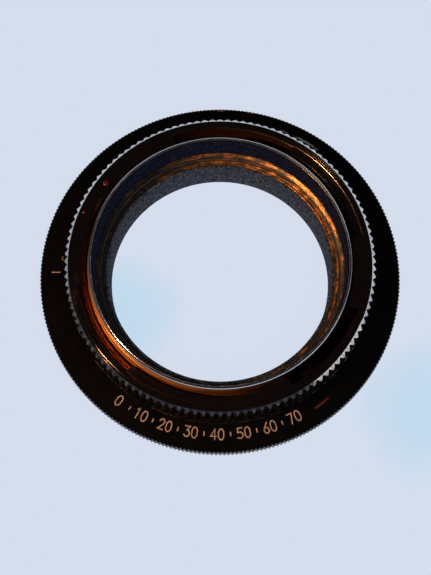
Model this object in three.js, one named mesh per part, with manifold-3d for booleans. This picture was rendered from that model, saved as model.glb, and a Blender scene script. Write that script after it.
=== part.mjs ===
// Lens-mount adapter ring with a turning bayonet lock ring, in millimetres, +Z up.
// The axis of the bore is Z, the rear bayonet stands on z = 0, and angles run counter-clockwise from +X.
// Body "adapter_body": barrel, grip flange, rear bayonet, linings and screws.
// Body "lock_ring_body": the knurled ring, its leaf springs and index beads.
// The lock ring turns 40 degrees about Z, counter-clockwise, from open (as built) to locked.

import * as THREE from "three";
import { mergeVertices } from "three/addons/utils/BufferGeometryUtils.js";
import Module from "manifold-3d";

// ---------------------------------------------------------------- driving sizes

const SEGMENTS = 60; // facets of every turned part
const BOOLEAN_MARGIN = 0.5; // how far a cutting tool runs past the face it opens

const FIT = 0.05; // gap between pieces that don't move on each other
const RUNNING = 0.15; // radial and axial gap where the lock ring turns

// Radial stack, from the light path outwards
const LIGHT_BORE_R = 28.35;
const LOWER_LINING = 0.7;
const SEAT_STEP = 1.1; // the lower lining's seat to the bare step above it
const SEAT_LEDGE = 1.4; // the bare step to the nose's bore
const UPPER_LINING = 0.4;
const TIP_FLAT = 0.2;
const TIP_BEVEL = 0.6;
const NOSE_TAPER = 1.0; // the nose is thicker at its base by this much
const CHANNEL_FLOOR = 1.5; // floor of the channel that the mating lugs stand on
const RIM_STEP = 1.05; // the rim that keeps the lock ring down, over its journal
const SPIGOT_STEP = 1.25; // journal to the spigot that carries the flange
const CHANNEL_LIP = 0.45; // ledge of the lock ring round the barrel's rim
const LOCK_WALL = 2.9; // channel to the knurling's crests
const FLANGE_FACE = 7.6; // knurling's crests to the flange's rim

// Heights, from the rear to the nose
const REAR_TUBE_H = 3.2;
const REAR_PLATE_T = 2.0;
const REAR_RECESS = 0.3; // the sleeve and lining end this far inside the rear bayonet
const FLANGE_T = 4.2;
const FLOOR_H = 5.0; // channel floor above the flange's front
const RIM_H = 1.1;
const LOCK_H = 10.0; // lock ring's face above the flange's front
const NOSE_H = 11.8; // nose tip above the flange's front
const SEAT_H = 2.5; // shelf under the brass seat ring, above the flange's front
const SEAT_RING_H = 1.4;
const SEAT_RING_LIP = 0.15; // how far the ring stands over the bare step
const LINING_GAP = 0.2; // lower lining to its shoulder
const LINING_DROP = 1.2; // shelf down to the lower lining's end
const TIP_BARE = 1.2; // bare bore above the upper lining

// Barrel and grip flange
const REAR_SLEEVE_WALL = 0.7;
const FLANGE_EDGE = 0.45; // bevels of the rim
const FLANGE_LAND = 0.25; // height of the rear seating land
const LAND_GAP = 0.25; // rear lugs to the land
const FINE_TEETH = 280;
const FINE_DEPTH = 0.4;
const WASHER_POCKET = 1.0; // depth of the recess that holds the wave washer

// Lock ring
const LOCK_BEVEL = 1.0;
const COARSE_TEETH = 120;
const COARSE_DEPTH = 0.85;
const COARSE_FLAT = 0.12; // share of a tooth's pitch that stays flat on its crest
const COLLAR_INSET = 0.3; // plain collar under the knurling, inside its crests
const COLLAR_H = 0.5; // collar's top above the flange's front
const LUG_T = 2.2; // thickness of the inward lugs
const LUG_CLEAR = 0.25; // gap between a lug and the nose
const TRAVEL = 40; // degrees from open to locked
const RELIEF_EDGE = 0.25; // relieved face, out past the channel's wall
const RELIEF_DROP = 0.35;
const RELIEF_STEP_R = 1.2; // from the channel's wall in to the second drop
const RELIEF_CUT_R = 1.75; // from the channel's wall in to the relieved lug's edge
// Openings for the mating lugs and the relieved faces between them, in degrees
const OPENINGS = [
  { start: 58.5, span: 51 },
  { start: 190.2, span: 41 },
  { start: 298.5, span: 37.5 },
];
const RELIEFS = [
  { start: 10.3, span: 48.2 },
  { start: 150, span: 40.2 },
  { start: 231.2, span: 56.3 },
];
const NOTCH_START = 336.6;
const NOTCH_SPAN = 3;
const NOTCH_OUT = 0.6; // past the channel's wall

// Rear bayonet
const REAR_TUBE_WALL = 1.4;
const REAR_LUG_OUT = 1.8;
const REAR_LUG_T = 1.5;
const REAR_LUG_SPAN = 48; // degrees
const REAR_LUG_START = 60;
const REAR_PLATE_STEP = 1.3; // tube to the plate's edge

// Wave washer
const WASHER_IN = 1.35; // journal to the washer
const WASHER_WIDTH = 2.2;
const WASHER_T = 0.2;
const WASHER_WAVES = 6;
const WASHER_LIFT = 0.14; // half of the wave's height
const WASHER_SPACE = 0.55; // recess floor to the lock ring

// Leaf springs
const SPRING_WIDTH = 1.2;
const SPRING_T = 0.25;
const SPRING_BOW = 0.75;
const SPRING_GAP = 0.4; // to the channel's wall
const SPRING_SPAN = 36; // degrees
const SPRING_LEAD = 4; // degrees past the start of the relieved face
const SPRING_FLAT = 0.22; // share of the spring that lies flat at its screw
const SPRING_SCREW_R = 0.4;
const SPRING_SCREW_HEAD_R = 0.6;
const SPRING_SCREW_HEAD_T = 0.3;
const SPRING_SCREW_GRIP = 0.8; // thread length in the lug

// Rear screws
const REAR_SCREWS = 6;
const REAR_SCREW_INSET = 1.2; // spigot's wall to the screws' circle
const REAR_SCREW_R = 0.7;
const REAR_SCREW_HEAD_R = 1.2;
const REAR_SCREW_HEAD_T = 0.9;
const REAR_SCREW_L = 4.2;
const REAR_SCREW_FIRST = 30; // degrees
const REAR_SCREW_SINK = 0.1; // counterbore round a head
const REAR_TUBE_SPACE = 0.9; // counterbore to the tube
const SCREW_SLOT_W = 0.4;
const SCREW_SLOT_D = 0.4;

// Stop screw, lock-pin bush and index beads
const STOP_ANGLE = 282; // degrees
const STOP_SCREW_R = 0.6;
const STOP_SCREW_L = 2.4;
const STOP_OUT = 0.75; // how far it stands into the lock ring's groove
const STOP_HEIGHT = 1.8; // above the flange's front
const BUSH_ANGLE = 174.5; // degrees
const BUSH_INSET = 1.6; // knurling's crests to the bush's centre
const BUSH_R = 1.9;
const BUSH_L = 2.6;
const BUSH_TIP_R = 0.75;
const BUSH_HOLE_R = 1.2;
const BUSH_HOLE_DEPTH = 2.0;
const BEADS = [
  { name: "index_bead", radius: 0.75, angle: 144.5, inset: 3.1 },
  { name: "index_bead_small", radius: 0.45, angle: 159.5, inset: 2.1 },
];
const BEAD_DEPTH = 0.6;
const BEAD_PROUD = 0.12;

// ---------------------------------------------------------------- worked-out radii and heights

const lowerSeatR = LIGHT_BORE_R + LOWER_LINING + FIT;
const rearSleeveR = lowerSeatR + REAR_SLEEVE_WALL;
const seatBoreR = lowerSeatR + SEAT_STEP;
const noseBoreR = seatBoreR + SEAT_LEDGE;
const noseTipR = noseBoreR + TIP_FLAT;
const noseShoulderR = noseTipR + TIP_BEVEL;
const noseBaseR = noseShoulderR + NOSE_TAPER;
const rimR = noseBaseR + CHANNEL_FLOOR;
const journalR = rimR - RIM_STEP;
const spigotR = journalR - SPIGOT_STEP;
const lipR = rimR + RUNNING;
const channelR = lipR + CHANNEL_LIP;
const lockR = channelR + LOCK_WALL;
const collarR = lockR - COLLAR_INSET;
const flangeR = lockR + FLANGE_FACE;
const rearScrewPitchR = spigotR - REAR_SCREW_INSET;
const rearSinkR = REAR_SCREW_HEAD_R + REAR_SCREW_SINK;
const rearTubeBoreR = rearScrewPitchR + rearSinkR + REAR_TUBE_SPACE;
const rearTubeR = rearTubeBoreR + REAR_TUBE_WALL;
const rearPlateR = rearTubeR + REAR_PLATE_STEP;
const landR = rearTubeR + REAR_LUG_OUT + LAND_GAP;

const flangeBackZ = REAR_TUBE_H + REAR_PLATE_T;
const flangeFrontZ = flangeBackZ + FLANGE_T;
const landZ = flangeBackZ - FLANGE_LAND;
const pocketZ = flangeFrontZ - WASHER_POCKET;
const floorZ = flangeFrontZ + FLOOR_H;
const rimUnderZ = floorZ - RIM_H;
const lockTopZ = flangeFrontZ + LOCK_H;
const lockBottomZ = pocketZ + WASHER_SPACE;
const lugUnderZ = lockTopZ - LUG_T;
const noseZ = flangeFrontZ + NOSE_H;
const noseShoulderZ = noseZ - TIP_BEVEL;
const seatZ = flangeFrontZ + SEAT_H;
const seatRingZ = seatZ + SEAT_RING_H;
const liningShoulderZ = seatZ - LINING_DROP;
const rearEndZ = REAR_RECESS;

// ---------------------------------------------------------------- solids

const wasm = await Module();
wasm.setup();

// A closed three.js geometry as a manifold solid.
function toSolid(geometry) {
  const bare = geometry.index ? geometry.toNonIndexed() : geometry.clone();
  bare.deleteAttribute("normal");
  bare.deleteAttribute("uv");
  const merged = mergeVertices(bare, 1e-4);
  return new wasm.Manifold(
    new wasm.Mesh({
      numProp: 3,
      vertProperties: new Float32Array(merged.attributes.position.array),
      triVerts: new Uint32Array(merged.index.array),
    }),
  );
}

function toGeometry(solid) {
  const mesh = solid.getMesh();
  const geometry = new THREE.BufferGeometry();
  geometry.setAttribute("position", new THREE.BufferAttribute(mesh.vertProperties, 3));
  geometry.setIndex(new THREE.BufferAttribute(mesh.triVerts, 1));
  geometry.computeVertexNormals();
  return geometry;
}

function cutAll(solid, tools) {
  return tools.reduce((rest, tool) => rest.subtract(toSolid(tool)), solid);
}

const radians = (degrees) => (degrees * Math.PI) / 180;

// A turned part: [radius, height] corners, listed counter-clockwise in the section's plane.
function turned(corners, segments = SEGMENTS) {
  const points = corners.map(([r, z]) => new THREE.Vector2(r, z));
  if (corners[0][0] > 0) points.push(points[0].clone());
  return new THREE.LatheGeometry(points, segments).rotateX(Math.PI / 2);
}

// A plain sleeve between two radii and two heights.
function sleeve(inner, outer, low, high) {
  return turned([
    [outer, low],
    [outer, high],
    [inner, high],
    [inner, low],
  ]);
}

// A piece of a ring between two radii, two angles (degrees) and two heights.
function sector(inner, outer, start, span, low, high) {
  const shape = new THREE.Shape();
  const from = radians(start);
  const to = radians(start + span);
  shape.absarc(0, 0, outer, from, to, false);
  shape.absarc(0, 0, inner, to, from, true);
  const steps = Math.max(2, Math.round(span / 6));
  const options = { depth: high - low, bevelEnabled: false, curveSegments: steps };
  return new THREE.ExtrudeGeometry(shape, options).translate(0, 0, low);
}

// The outline of straight knurling: flat crests with a V groove between them.
function knurlOutline(teeth, crest, depth, flat) {
  const pitch = (2 * Math.PI) / teeth;
  const points = [];
  for (let i = 0; i < teeth; i += 1) {
    const middle = i * pitch;
    if (flat > 0) {
      points.push([crest, middle - (flat * pitch) / 2], [crest, middle + (flat * pitch) / 2]);
    } else {
      points.push([crest, middle]);
    }
    points.push([crest - depth, middle + pitch / 2]);
  }
  return points.map(([r, a]) => new THREE.Vector2(r * Math.cos(a), r * Math.sin(a)));
}

// What is left of a blank inside a knurled outline.
function knurled(solid, teeth, crest, depth, flat, low, high) {
  const options = { depth: high - low, bevelEnabled: false };
  const shape = new THREE.Shape(knurlOutline(teeth, crest, depth, flat));
  const core = new THREE.ExtrudeGeometry(shape, options).translate(0, 0, low);
  return solid.intersect(toSolid(core));
}

// A cylinder along Z.
function post(radius, low, high, segments = 16) {
  const geometry = new THREE.CylinderGeometry(radius, radius, high - low, segments);
  return geometry.rotateX(Math.PI / 2).translate(0, 0, (low + high) / 2);
}

// Moves a geometry that was built on the Z axis out to a radius and an angle in degrees.
function placed(geometry, radius, angle) {
  return geometry.clone().translate(radius, 0, 0).rotateZ(radians(angle));
}

// ---------------------------------------------------------------- the scene graph

const adapter = new THREE.Group();
const fixedBody = new THREE.Group();
const lockBody = new THREE.Group();
adapter.add(fixedBody, lockBody);

function finish(colour, roughness, metalness) {
  return new THREE.MeshStandardMaterial({ color: colour, roughness, metalness });
}

const blackAnodised = finish(0x0b0a0b, 0.38, 0.6);
const blackTurned = finish(0x141113, 0.32, 0.7);
const flock = finish(0x23242a, 0.98, 0.0);
const flockBlue = finish(0x16161f, 0.95, 0.0);
const wornBrass = finish(0xa8641f, 0.35, 0.9);
const bronze = finish(0x9a5a20, 0.3, 0.95);
const steel = finish(0x8f8f92, 0.35, 0.9);
const blackSteel = finish(0x1a1a1c, 0.4, 0.8);
const redPaint = finish(0x8c1410, 0.4, 0.0);

function add(group, name, solid, material) {
  const geometry = solid.isBufferGeometry ? solid : toGeometry(solid);
  const mesh = new THREE.Mesh(geometry, material);
  mesh.name = name;
  group.add(mesh);
}

// ---------------------------------------------------------------- barrel

// One geometry at each of the rear screws' places.
function atRearScrews(geometry) {
  const copies = [];
  for (let i = 0; i < REAR_SCREWS; i += 1) {
    copies.push(placed(geometry, rearScrewPitchR, REAR_SCREW_FIRST + (i * 360) / REAR_SCREWS));
  }
  return copies;
}

const stopZ = flangeFrontZ + STOP_HEIGHT;
const stopOuterR = journalR + STOP_OUT;

// A short radial cylinder at the stop screw's place, from an inner to an outer radius.
function stopPin(radius, inner, outer) {
  const geometry = new THREE.CylinderGeometry(radius, radius, outer - inner, 16).rotateZ(Math.PI / 2);
  return geometry.translate((inner + outer) / 2, 0, stopZ).rotateZ(radians(STOP_ANGLE));
}

function makeBarrel() {
  const blank = turned([
    [rearSleeveR, rearEndZ],
    [rearSleeveR, flangeBackZ],
    [spigotR, flangeBackZ],
    [spigotR, pocketZ],
    [journalR, pocketZ],
    [journalR, rimUnderZ],
    [rimR, rimUnderZ],
    [rimR, floorZ],
    [noseBaseR, floorZ],
    [noseShoulderR, noseShoulderZ],
    [noseTipR, noseZ],
    [noseBoreR, noseZ],
    [noseBoreR, seatZ],
    [seatBoreR, seatZ],
    [seatBoreR, liningShoulderZ],
    [lowerSeatR, liningShoulderZ],
    [lowerSeatR, rearEndZ],
  ]);
  const screwTip = REAR_TUBE_H + REAR_SCREW_L + FIT;
  const stopHole = stopPin(STOP_SCREW_R + FIT, stopOuterR - STOP_SCREW_L - FIT, stopOuterR + BOOLEAN_MARGIN);
  const screwHole = post(REAR_SCREW_R + FIT, flangeBackZ - BOOLEAN_MARGIN, screwTip);
  return cutAll(toSolid(blank), [...atRearScrews(screwHole), stopHole]);
}
add(fixedBody, "barrel", makeBarrel(), blackTurned);

const lowerLining = sleeve(LIGHT_BORE_R, LIGHT_BORE_R + LOWER_LINING, rearEndZ, liningShoulderZ - LINING_GAP);
add(fixedBody, "lower_flock_lining", lowerLining, flock);

const linerR = noseBoreR - FIT;
const seatRing = sleeve(seatBoreR - SEAT_RING_LIP, linerR, seatZ, seatRingZ);
add(fixedBody, "brass_seat_ring", seatRing, wornBrass);

const upperLining = sleeve(linerR - UPPER_LINING, linerR, seatRingZ, noseZ - TIP_BARE);
add(fixedBody, "upper_flock_lining", upperLining, flockBlue);

// ---------------------------------------------------------------- grip flange

const bushR = lockR + BUSH_INSET;

// The lock-pin bush, open towards the rear.
function makeBush() {
  const holeTop = landZ + BUSH_HOLE_DEPTH;
  const shoulderZ = landZ + BUSH_L;
  const profile = [
    [0, holeTop],
    [BUSH_HOLE_R, holeTop],
    [BUSH_HOLE_R, landZ],
    [BUSH_R, landZ],
    [BUSH_R, shoulderZ],
    [BUSH_TIP_R, shoulderZ],
    [BUSH_TIP_R, flangeFrontZ],
    [0, flangeFrontZ],
  ];
  return placed(turned(profile, 16), bushR, BUSH_ANGLE);
}
add(fixedBody, "lock_pin_bush", makeBush(), wornBrass);

function makeFlange() {
  const recessR = lockR + RUNNING;
  const bore = spigotR + FIT;
  const blank = turned([
    [flangeR - FLANGE_EDGE, landZ],
    [flangeR, landZ + FLANGE_EDGE],
    [flangeR, flangeFrontZ - FLANGE_EDGE],
    [flangeR - FLANGE_EDGE, flangeFrontZ],
    [recessR, flangeFrontZ],
    [recessR, pocketZ],
    [bore, pocketZ],
    [bore, flangeBackZ],
    [landR, flangeBackZ],
    [landR, landZ],
  ], FINE_TEETH / 2);
  const low = landZ - BOOLEAN_MARGIN;
  const high = flangeFrontZ + BOOLEAN_MARGIN;
  const ring = knurled(toSolid(blank), FINE_TEETH, flangeR, FINE_DEPTH, 0, low, high);
  const tip = post(BUSH_TIP_R + FIT, landZ, high);
  const body = post(BUSH_R + FIT, low, landZ + BUSH_L);
  return cutAll(ring, [placed(tip, bushR, BUSH_ANGLE), placed(body, bushR, BUSH_ANGLE)]);
}
add(fixedBody, "grip_flange", makeFlange(), blackAnodised);

// ---------------------------------------------------------------- rear bayonet

function makeRearBayonet() {
  const bore = rearSleeveR + FIT;
  let ring = toSolid(
    turned([
      [rearTubeR, 0],
      [rearTubeR, REAR_TUBE_H],
      [rearPlateR, REAR_TUBE_H],
      [rearPlateR, flangeBackZ],
      [bore, flangeBackZ],
      [bore, REAR_TUBE_H],
      [rearTubeBoreR, REAR_TUBE_H],
      [rearTubeBoreR, 0],
    ]),
  );
  for (let i = 0; i < OPENINGS.length; i += 1) {
    const start = REAR_LUG_START + (i * 360) / OPENINGS.length;
    const root = rearTubeR - REAR_TUBE_WALL / 2;
    ring = ring.add(toSolid(sector(root, rearTubeR + REAR_LUG_OUT, start, REAR_LUG_SPAN, 0, REAR_LUG_T)));
  }
  const low = REAR_TUBE_H - BOOLEAN_MARGIN;
  const hole = post(REAR_SCREW_R + FIT, low, flangeBackZ + BOOLEAN_MARGIN);
  const sink = post(rearSinkR, low, REAR_TUBE_H + REAR_SCREW_HEAD_T);
  return cutAll(ring, [...atRearScrews(hole), ...atRearScrews(sink)]);
}
add(fixedBody, "rear_bayonet_ring", makeRearBayonet(), steel);

// A slotted cheese-head screw pointing up, its head's face at the given height.
function slottedScrew(headR, headT, shankR, length, z) {
  const screw = turned(
    [
      [0, z],
      [headR, z],
      [headR, z + headT],
      [shankR, z + headT],
      [shankR, z + length],
      [0, z + length],
    ],
    16,
  );
  const slot = new THREE.BoxGeometry(headR * 3, SCREW_SLOT_W, SCREW_SLOT_D * 2).translate(0, 0, z);
  return toGeometry(cutAll(toSolid(screw), [slot]));
}

const rearScrew = slottedScrew(REAR_SCREW_HEAD_R, REAR_SCREW_HEAD_T, REAR_SCREW_R, REAR_SCREW_L, REAR_TUBE_H);
atRearScrews(rearScrew).forEach((screw, i) => {
  add(fixedBody, `rear_screw_${i + 1}`, screw, blackSteel);
});

add(fixedBody, "travel_stop_screw", stopPin(STOP_SCREW_R, stopOuterR - STOP_SCREW_L, stopOuterR), steel);

// ---------------------------------------------------------------- wave washer

// A thin ring whose height rises and falls round the circle.
function makeWaveWasher() {
  const inner = journalR + WASHER_IN;
  const washer = sleeve(inner, inner + WASHER_WIDTH, -WASHER_T / 2, WASHER_T / 2);
  const position = washer.attributes.position;
  for (let i = 0; i < position.count; i += 1) {
    const angle = Math.atan2(position.getY(i), position.getX(i));
    const wave = WASHER_LIFT * Math.cos(WASHER_WAVES * angle);
    position.setZ(i, pocketZ + WASHER_SPACE / 2 + position.getZ(i) + wave);
  }
  return washer;
}
add(fixedBody, "wave_washer", makeWaveWasher(), steel);

// ---------------------------------------------------------------- lock ring

// The lugs' inner edge follows the nose's taper.
function lugBoreAt(z) {
  const share = (z - floorZ) / (noseShoulderZ - floorZ);
  return noseBaseR + (noseShoulderR - noseBaseR) * share + LUG_CLEAR;
}

const springOuterR = channelR - SPRING_GAP;
const springInnerR = springOuterR - SPRING_WIDTH;
const springMidR = (springInnerR + springOuterR) / 2;
const springScrewLead = SPRING_LEAD + (SPRING_SPAN * SPRING_FLAT) / 2;

function makeLockRing() {
  const top = lockTopZ + BOOLEAN_MARGIN;
  const inside = noseTipR;
  const blank = turned([
    [lockR, flangeFrontZ + COLLAR_H],
    [lockR, lockTopZ - LOCK_BEVEL],
    [lockR - LOCK_BEVEL, lockTopZ],
    [lugBoreAt(lockTopZ), lockTopZ],
    [lugBoreAt(lugUnderZ), lugUnderZ],
    [channelR, lugUnderZ],
    [channelR, floorZ + RUNNING],
    [lipR, floorZ + RUNNING],
    [lipR, rimUnderZ - RUNNING],
    [journalR + RUNNING, rimUnderZ - RUNNING],
    [journalR + RUNNING, flangeFrontZ + COLLAR_H],
  ]);
  const collar = sleeve(journalR + RUNNING, collarR, lockBottomZ, flangeFrontZ + COLLAR_H);
  const grip = knurled(toSolid(blank), COARSE_TEETH, lockR, COARSE_DEPTH, COARSE_FLAT, 0, top);
  const ring = grip.add(toSolid(collar));
  const cuts = [];
  for (const { start, span } of OPENINGS) {
    cuts.push(sector(inside, channelR, start, span, lugUnderZ - BOOLEAN_MARGIN, top));
  }
  const screwHoleTop = lugUnderZ + SPRING_SCREW_GRIP + FIT;
  const screwHole = post(SPRING_SCREW_R + FIT, lugUnderZ - BOOLEAN_MARGIN, screwHoleTop, 12);
  for (const { start, span } of RELIEFS) {
    cuts.push(
      sector(inside, channelR + RELIEF_EDGE, start, span, lockTopZ - RELIEF_DROP, top),
      sector(inside, channelR - RELIEF_STEP_R, start, span, lockTopZ - 2 * RELIEF_DROP, top),
      sector(inside, channelR - RELIEF_CUT_R, start, span, lugUnderZ - BOOLEAN_MARGIN, top),
      placed(screwHole, springMidR, start + springScrewLead),
    );
  }
  cuts.push(sector(inside, channelR + NOTCH_OUT, NOTCH_START, NOTCH_SPAN, lugUnderZ - BOOLEAN_MARGIN, top));
  const stopMargin = THREE.MathUtils.radToDeg((STOP_SCREW_R + RUNNING) / journalR);
  cuts.push(
    sector(
      journalR - 1,
      stopOuterR + RUNNING,
      STOP_ANGLE - TRAVEL - stopMargin,
      TRAVEL + 2 * stopMargin,
      stopZ - STOP_SCREW_R - RUNNING,
      stopZ + STOP_SCREW_R + RUNNING,
    ),
  );
  for (const { radius, angle, inset } of BEADS) {
    cuts.push(placed(post(radius + FIT, lockTopZ - BEAD_DEPTH - FIT, top), lockR - inset, angle));
  }
  return cutAll(ring, cuts);
}
add(lockBody, "lock_ring", makeLockRing(), blackTurned);

// A bowed strip that starts at angle 0, flat where its screw holds it.
function makeLeafSpring() {
  const steps = 14;
  const corners = [];
  for (let i = 0; i <= steps; i += 1) {
    const share = i / steps;
    const angle = radians(SPRING_SPAN * share);
    const along = Math.max(0, (share - SPRING_FLAT) / (1 - SPRING_FLAT));
    const low = lugUnderZ - FIT - SPRING_T - SPRING_BOW * Math.sin(Math.PI * along) ** 2;
    const high = low + SPRING_T;
    const section = [
      [springOuterR, low],
      [springOuterR, high],
      [springInnerR, high],
      [springInnerR, low],
    ];
    for (const [r, z] of section) {
      corners.push(r * Math.cos(angle), r * Math.sin(angle), z);
    }
  }
  const index = [0, 1, 2, 0, 2, 3];
  for (let i = 0; i < steps; i += 1) {
    for (let side = 0; side < 4; side += 1) {
      const a = i * 4 + side;
      const b = i * 4 + ((side + 1) % 4);
      index.push(a, a + 4, b + 4, a, b + 4, b);
    }
  }
  const last = steps * 4;
  index.push(last, last + 2, last + 1, last, last + 3, last + 2);
  const strip = new THREE.BufferGeometry();
  strip.setAttribute("position", new THREE.Float32BufferAttribute(corners, 3));
  strip.setIndex(index);
  const screwAngle = springScrewLead - SPRING_LEAD;
  const hole = placed(post(SPRING_SCREW_R + FIT, lugUnderZ - 2, lugUnderZ + 1, 12), springMidR, screwAngle);
  return toGeometry(cutAll(toSolid(strip), [hole]));
}

const leafSpring = makeLeafSpring();
const springHeadZ = lugUnderZ - 2 * FIT - SPRING_T - SPRING_SCREW_HEAD_T;
const springScrew = turned(
  [
    [0, springHeadZ],
    [SPRING_SCREW_HEAD_R, springHeadZ],
    [SPRING_SCREW_HEAD_R, springHeadZ + SPRING_SCREW_HEAD_T],
    [SPRING_SCREW_R, springHeadZ + SPRING_SCREW_HEAD_T],
    [SPRING_SCREW_R, lugUnderZ + SPRING_SCREW_GRIP],
    [0, lugUnderZ + SPRING_SCREW_GRIP],
  ],
  12,
);
RELIEFS.forEach(({ start }, i) => {
  const spring = leafSpring.clone().rotateZ(radians(start + SPRING_LEAD));
  const screw = placed(springScrew, springMidR, start + springScrewLead);
  add(lockBody, `leaf_spring_${i + 1}`, spring, bronze);
  add(lockBody, `spring_screw_${i + 1}`, screw, blackSteel);
});

for (const { name, radius, angle, inset } of BEADS) {
  const bead = post(radius, lockTopZ - BEAD_DEPTH, lockTopZ + BEAD_PROUD);
  add(lockBody, name, placed(bead, lockR - inset, angle), redPaint);
}

export default adapter;
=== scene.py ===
import math

import bmesh
import bpy
from bpy.props import FloatProperty, FloatVectorProperty, IntProperty, PointerProperty
from bpy.types import Operator, Panel, PropertyGroup
from mathutils import Matrix, Vector, noise


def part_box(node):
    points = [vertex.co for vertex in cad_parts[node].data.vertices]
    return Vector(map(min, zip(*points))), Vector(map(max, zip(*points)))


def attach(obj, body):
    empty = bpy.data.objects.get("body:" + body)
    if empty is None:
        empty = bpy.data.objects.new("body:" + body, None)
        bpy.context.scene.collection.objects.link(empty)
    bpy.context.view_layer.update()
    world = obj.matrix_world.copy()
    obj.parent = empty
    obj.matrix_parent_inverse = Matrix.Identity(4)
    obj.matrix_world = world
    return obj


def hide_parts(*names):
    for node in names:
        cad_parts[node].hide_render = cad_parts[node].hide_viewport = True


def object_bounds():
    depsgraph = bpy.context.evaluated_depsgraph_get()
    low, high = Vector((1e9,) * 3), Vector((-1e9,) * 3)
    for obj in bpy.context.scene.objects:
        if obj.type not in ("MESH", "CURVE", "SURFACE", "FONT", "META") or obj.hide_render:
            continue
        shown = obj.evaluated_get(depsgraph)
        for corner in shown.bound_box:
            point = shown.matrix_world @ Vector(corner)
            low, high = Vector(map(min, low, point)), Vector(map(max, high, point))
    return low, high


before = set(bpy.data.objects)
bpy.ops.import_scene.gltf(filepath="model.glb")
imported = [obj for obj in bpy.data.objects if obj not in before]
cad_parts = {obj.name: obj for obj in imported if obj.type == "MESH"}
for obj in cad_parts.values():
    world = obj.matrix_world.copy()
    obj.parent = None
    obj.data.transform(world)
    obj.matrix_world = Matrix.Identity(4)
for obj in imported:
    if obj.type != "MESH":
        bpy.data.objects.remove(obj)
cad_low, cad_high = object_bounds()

bl_info = {
    "name": "Mount Adapter Ring",
    "version": (1, 0, 0),
    "blender": (4, 5, 0),
    "location": "View3D > Sidebar > Adapter Ring",
    "description": "Finished pieces of a lens-mount adapter ring, built round its frame",
    "category": "Object",
}

MM = 0.001
FIXED = "adapter_body"
TURNING = "lock_ring_body"

# ------------------------------------------------------------------ sizes
# Radii and heights are in millimetres, from the ring's axis and from its rear end.

LIGHT_BORE = 28.35
LOWER_SEAT = 29.1
REAR_SLEEVE = 29.8
SEAT_BORE = 30.2
NOSE_BORE = 31.6
NOSE_TIP = 31.8
NOSE_SHOULDER = 32.4
NOSE_BASE = 33.4
SPIGOT = 32.6
JOURNAL = 33.85
RIM = 34.9
LIP = 35.05
CHANNEL = 35.5
COLLAR = 38.1
RECESS = 38.55
REAR_TUBE_BORE = 33.6
REAR_TUBE = 35.0
REAR_PLATE = 36.3
REAR_LUG = 1.8
LAND = 37.05
RUNNING = 0.15

REAR_END = 0.3
REAR_PLATE_LOW = 3.2
LAND_Z = 4.95
FLANGE_BACK = 5.2
POCKET = 8.4
LOCK_BOTTOM = 8.95
FLANGE_FRONT = 9.4
COLLAR_TOP = 9.9
LINING_TOP = 10.5
LINING_SHOULDER = 10.7
SEAT = 11.9
RIM_UNDER = 13.3
SEAT_RING_TOP = 13.3
FLOOR = 14.4
LUG_UNDER = 17.2
NOSE_SHOULDER_Z = 20.6
UPPER_LINING_TOP = 20.0

# Openings for the mating lugs, and the relieved stretches of the lugs, as (start, end) in degrees.
OPENINGS = [(58.5, 109.5), (190.2, 231.2), (298.5, 336.0)]
RELIEFS = [(10.3, 58.5), (150.0, 190.2), (231.2, 287.5)]
BEVELLED_ENDS = [109.5, 298.5]
NOTCH = (336.6, 339.6)
NOTCH_WALL = 36.1
NOTCH_BOTTOM = LUG_UNDER - 0.5
RELIEF_EDGE = 35.75
RELIEF_STEP = 34.3
RELIEF_CUT = 33.75

# Where the leaf springs lie in the relieved stretches, in degrees, and how much of one lies flat.
SPRING_LEAD = 4.0
SPRING_SPAN = 36.0
SPRING_FLAT = 0.22
SPRING_CIRCLE = 34.5

# The lock-pin bush, and the rear screws.
BUSH_ANGLE = 174.5
BUSH_RADIUS = 40.0
BUSH_SHOULDER = LAND_Z + 2.6
BUSH_BODY = 1.9
BUSH_TIP = 0.75
REAR_SCREW_CIRCLE = 31.4
REAR_SCREW_ANGLES = [30 + 60 * i for i in range(6)]

# The stop screw's head: radius, angle in degrees, height. It stands in the lock ring's groove.
STOP_SCREW = (34.6, 282.0, 11.2)
STOP_GROOVE = (240.73, 283.27)
STOP_GROOVE_WALL = 34.75
STOP_GROOVE_HEIGHTS = (10.45, 11.95)

# The engraving: its depth, how far the enamel stays below the face, and where the scale runs.
ENGRAVING = 0.12
ENAMEL_DROP = 0.02
SCALE_RADIUS = 41.35
SCALE_START = 233.0
SCALE_STEP = 9.0
SCALE_MARKS = 8
TICK_REACH = 0.4


def length_property(name, description, default):
    return FloatProperty(name=name, description=description, default=default, unit="LENGTH")


def count_property(name, description, default):
    return IntProperty(name=name, description=description, default=default, min=3)


def colour_property(name, description, *default):
    return FloatVectorProperty(
        name=name, description=description, default=default, size=3, subtype="COLOR"
    )


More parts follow.
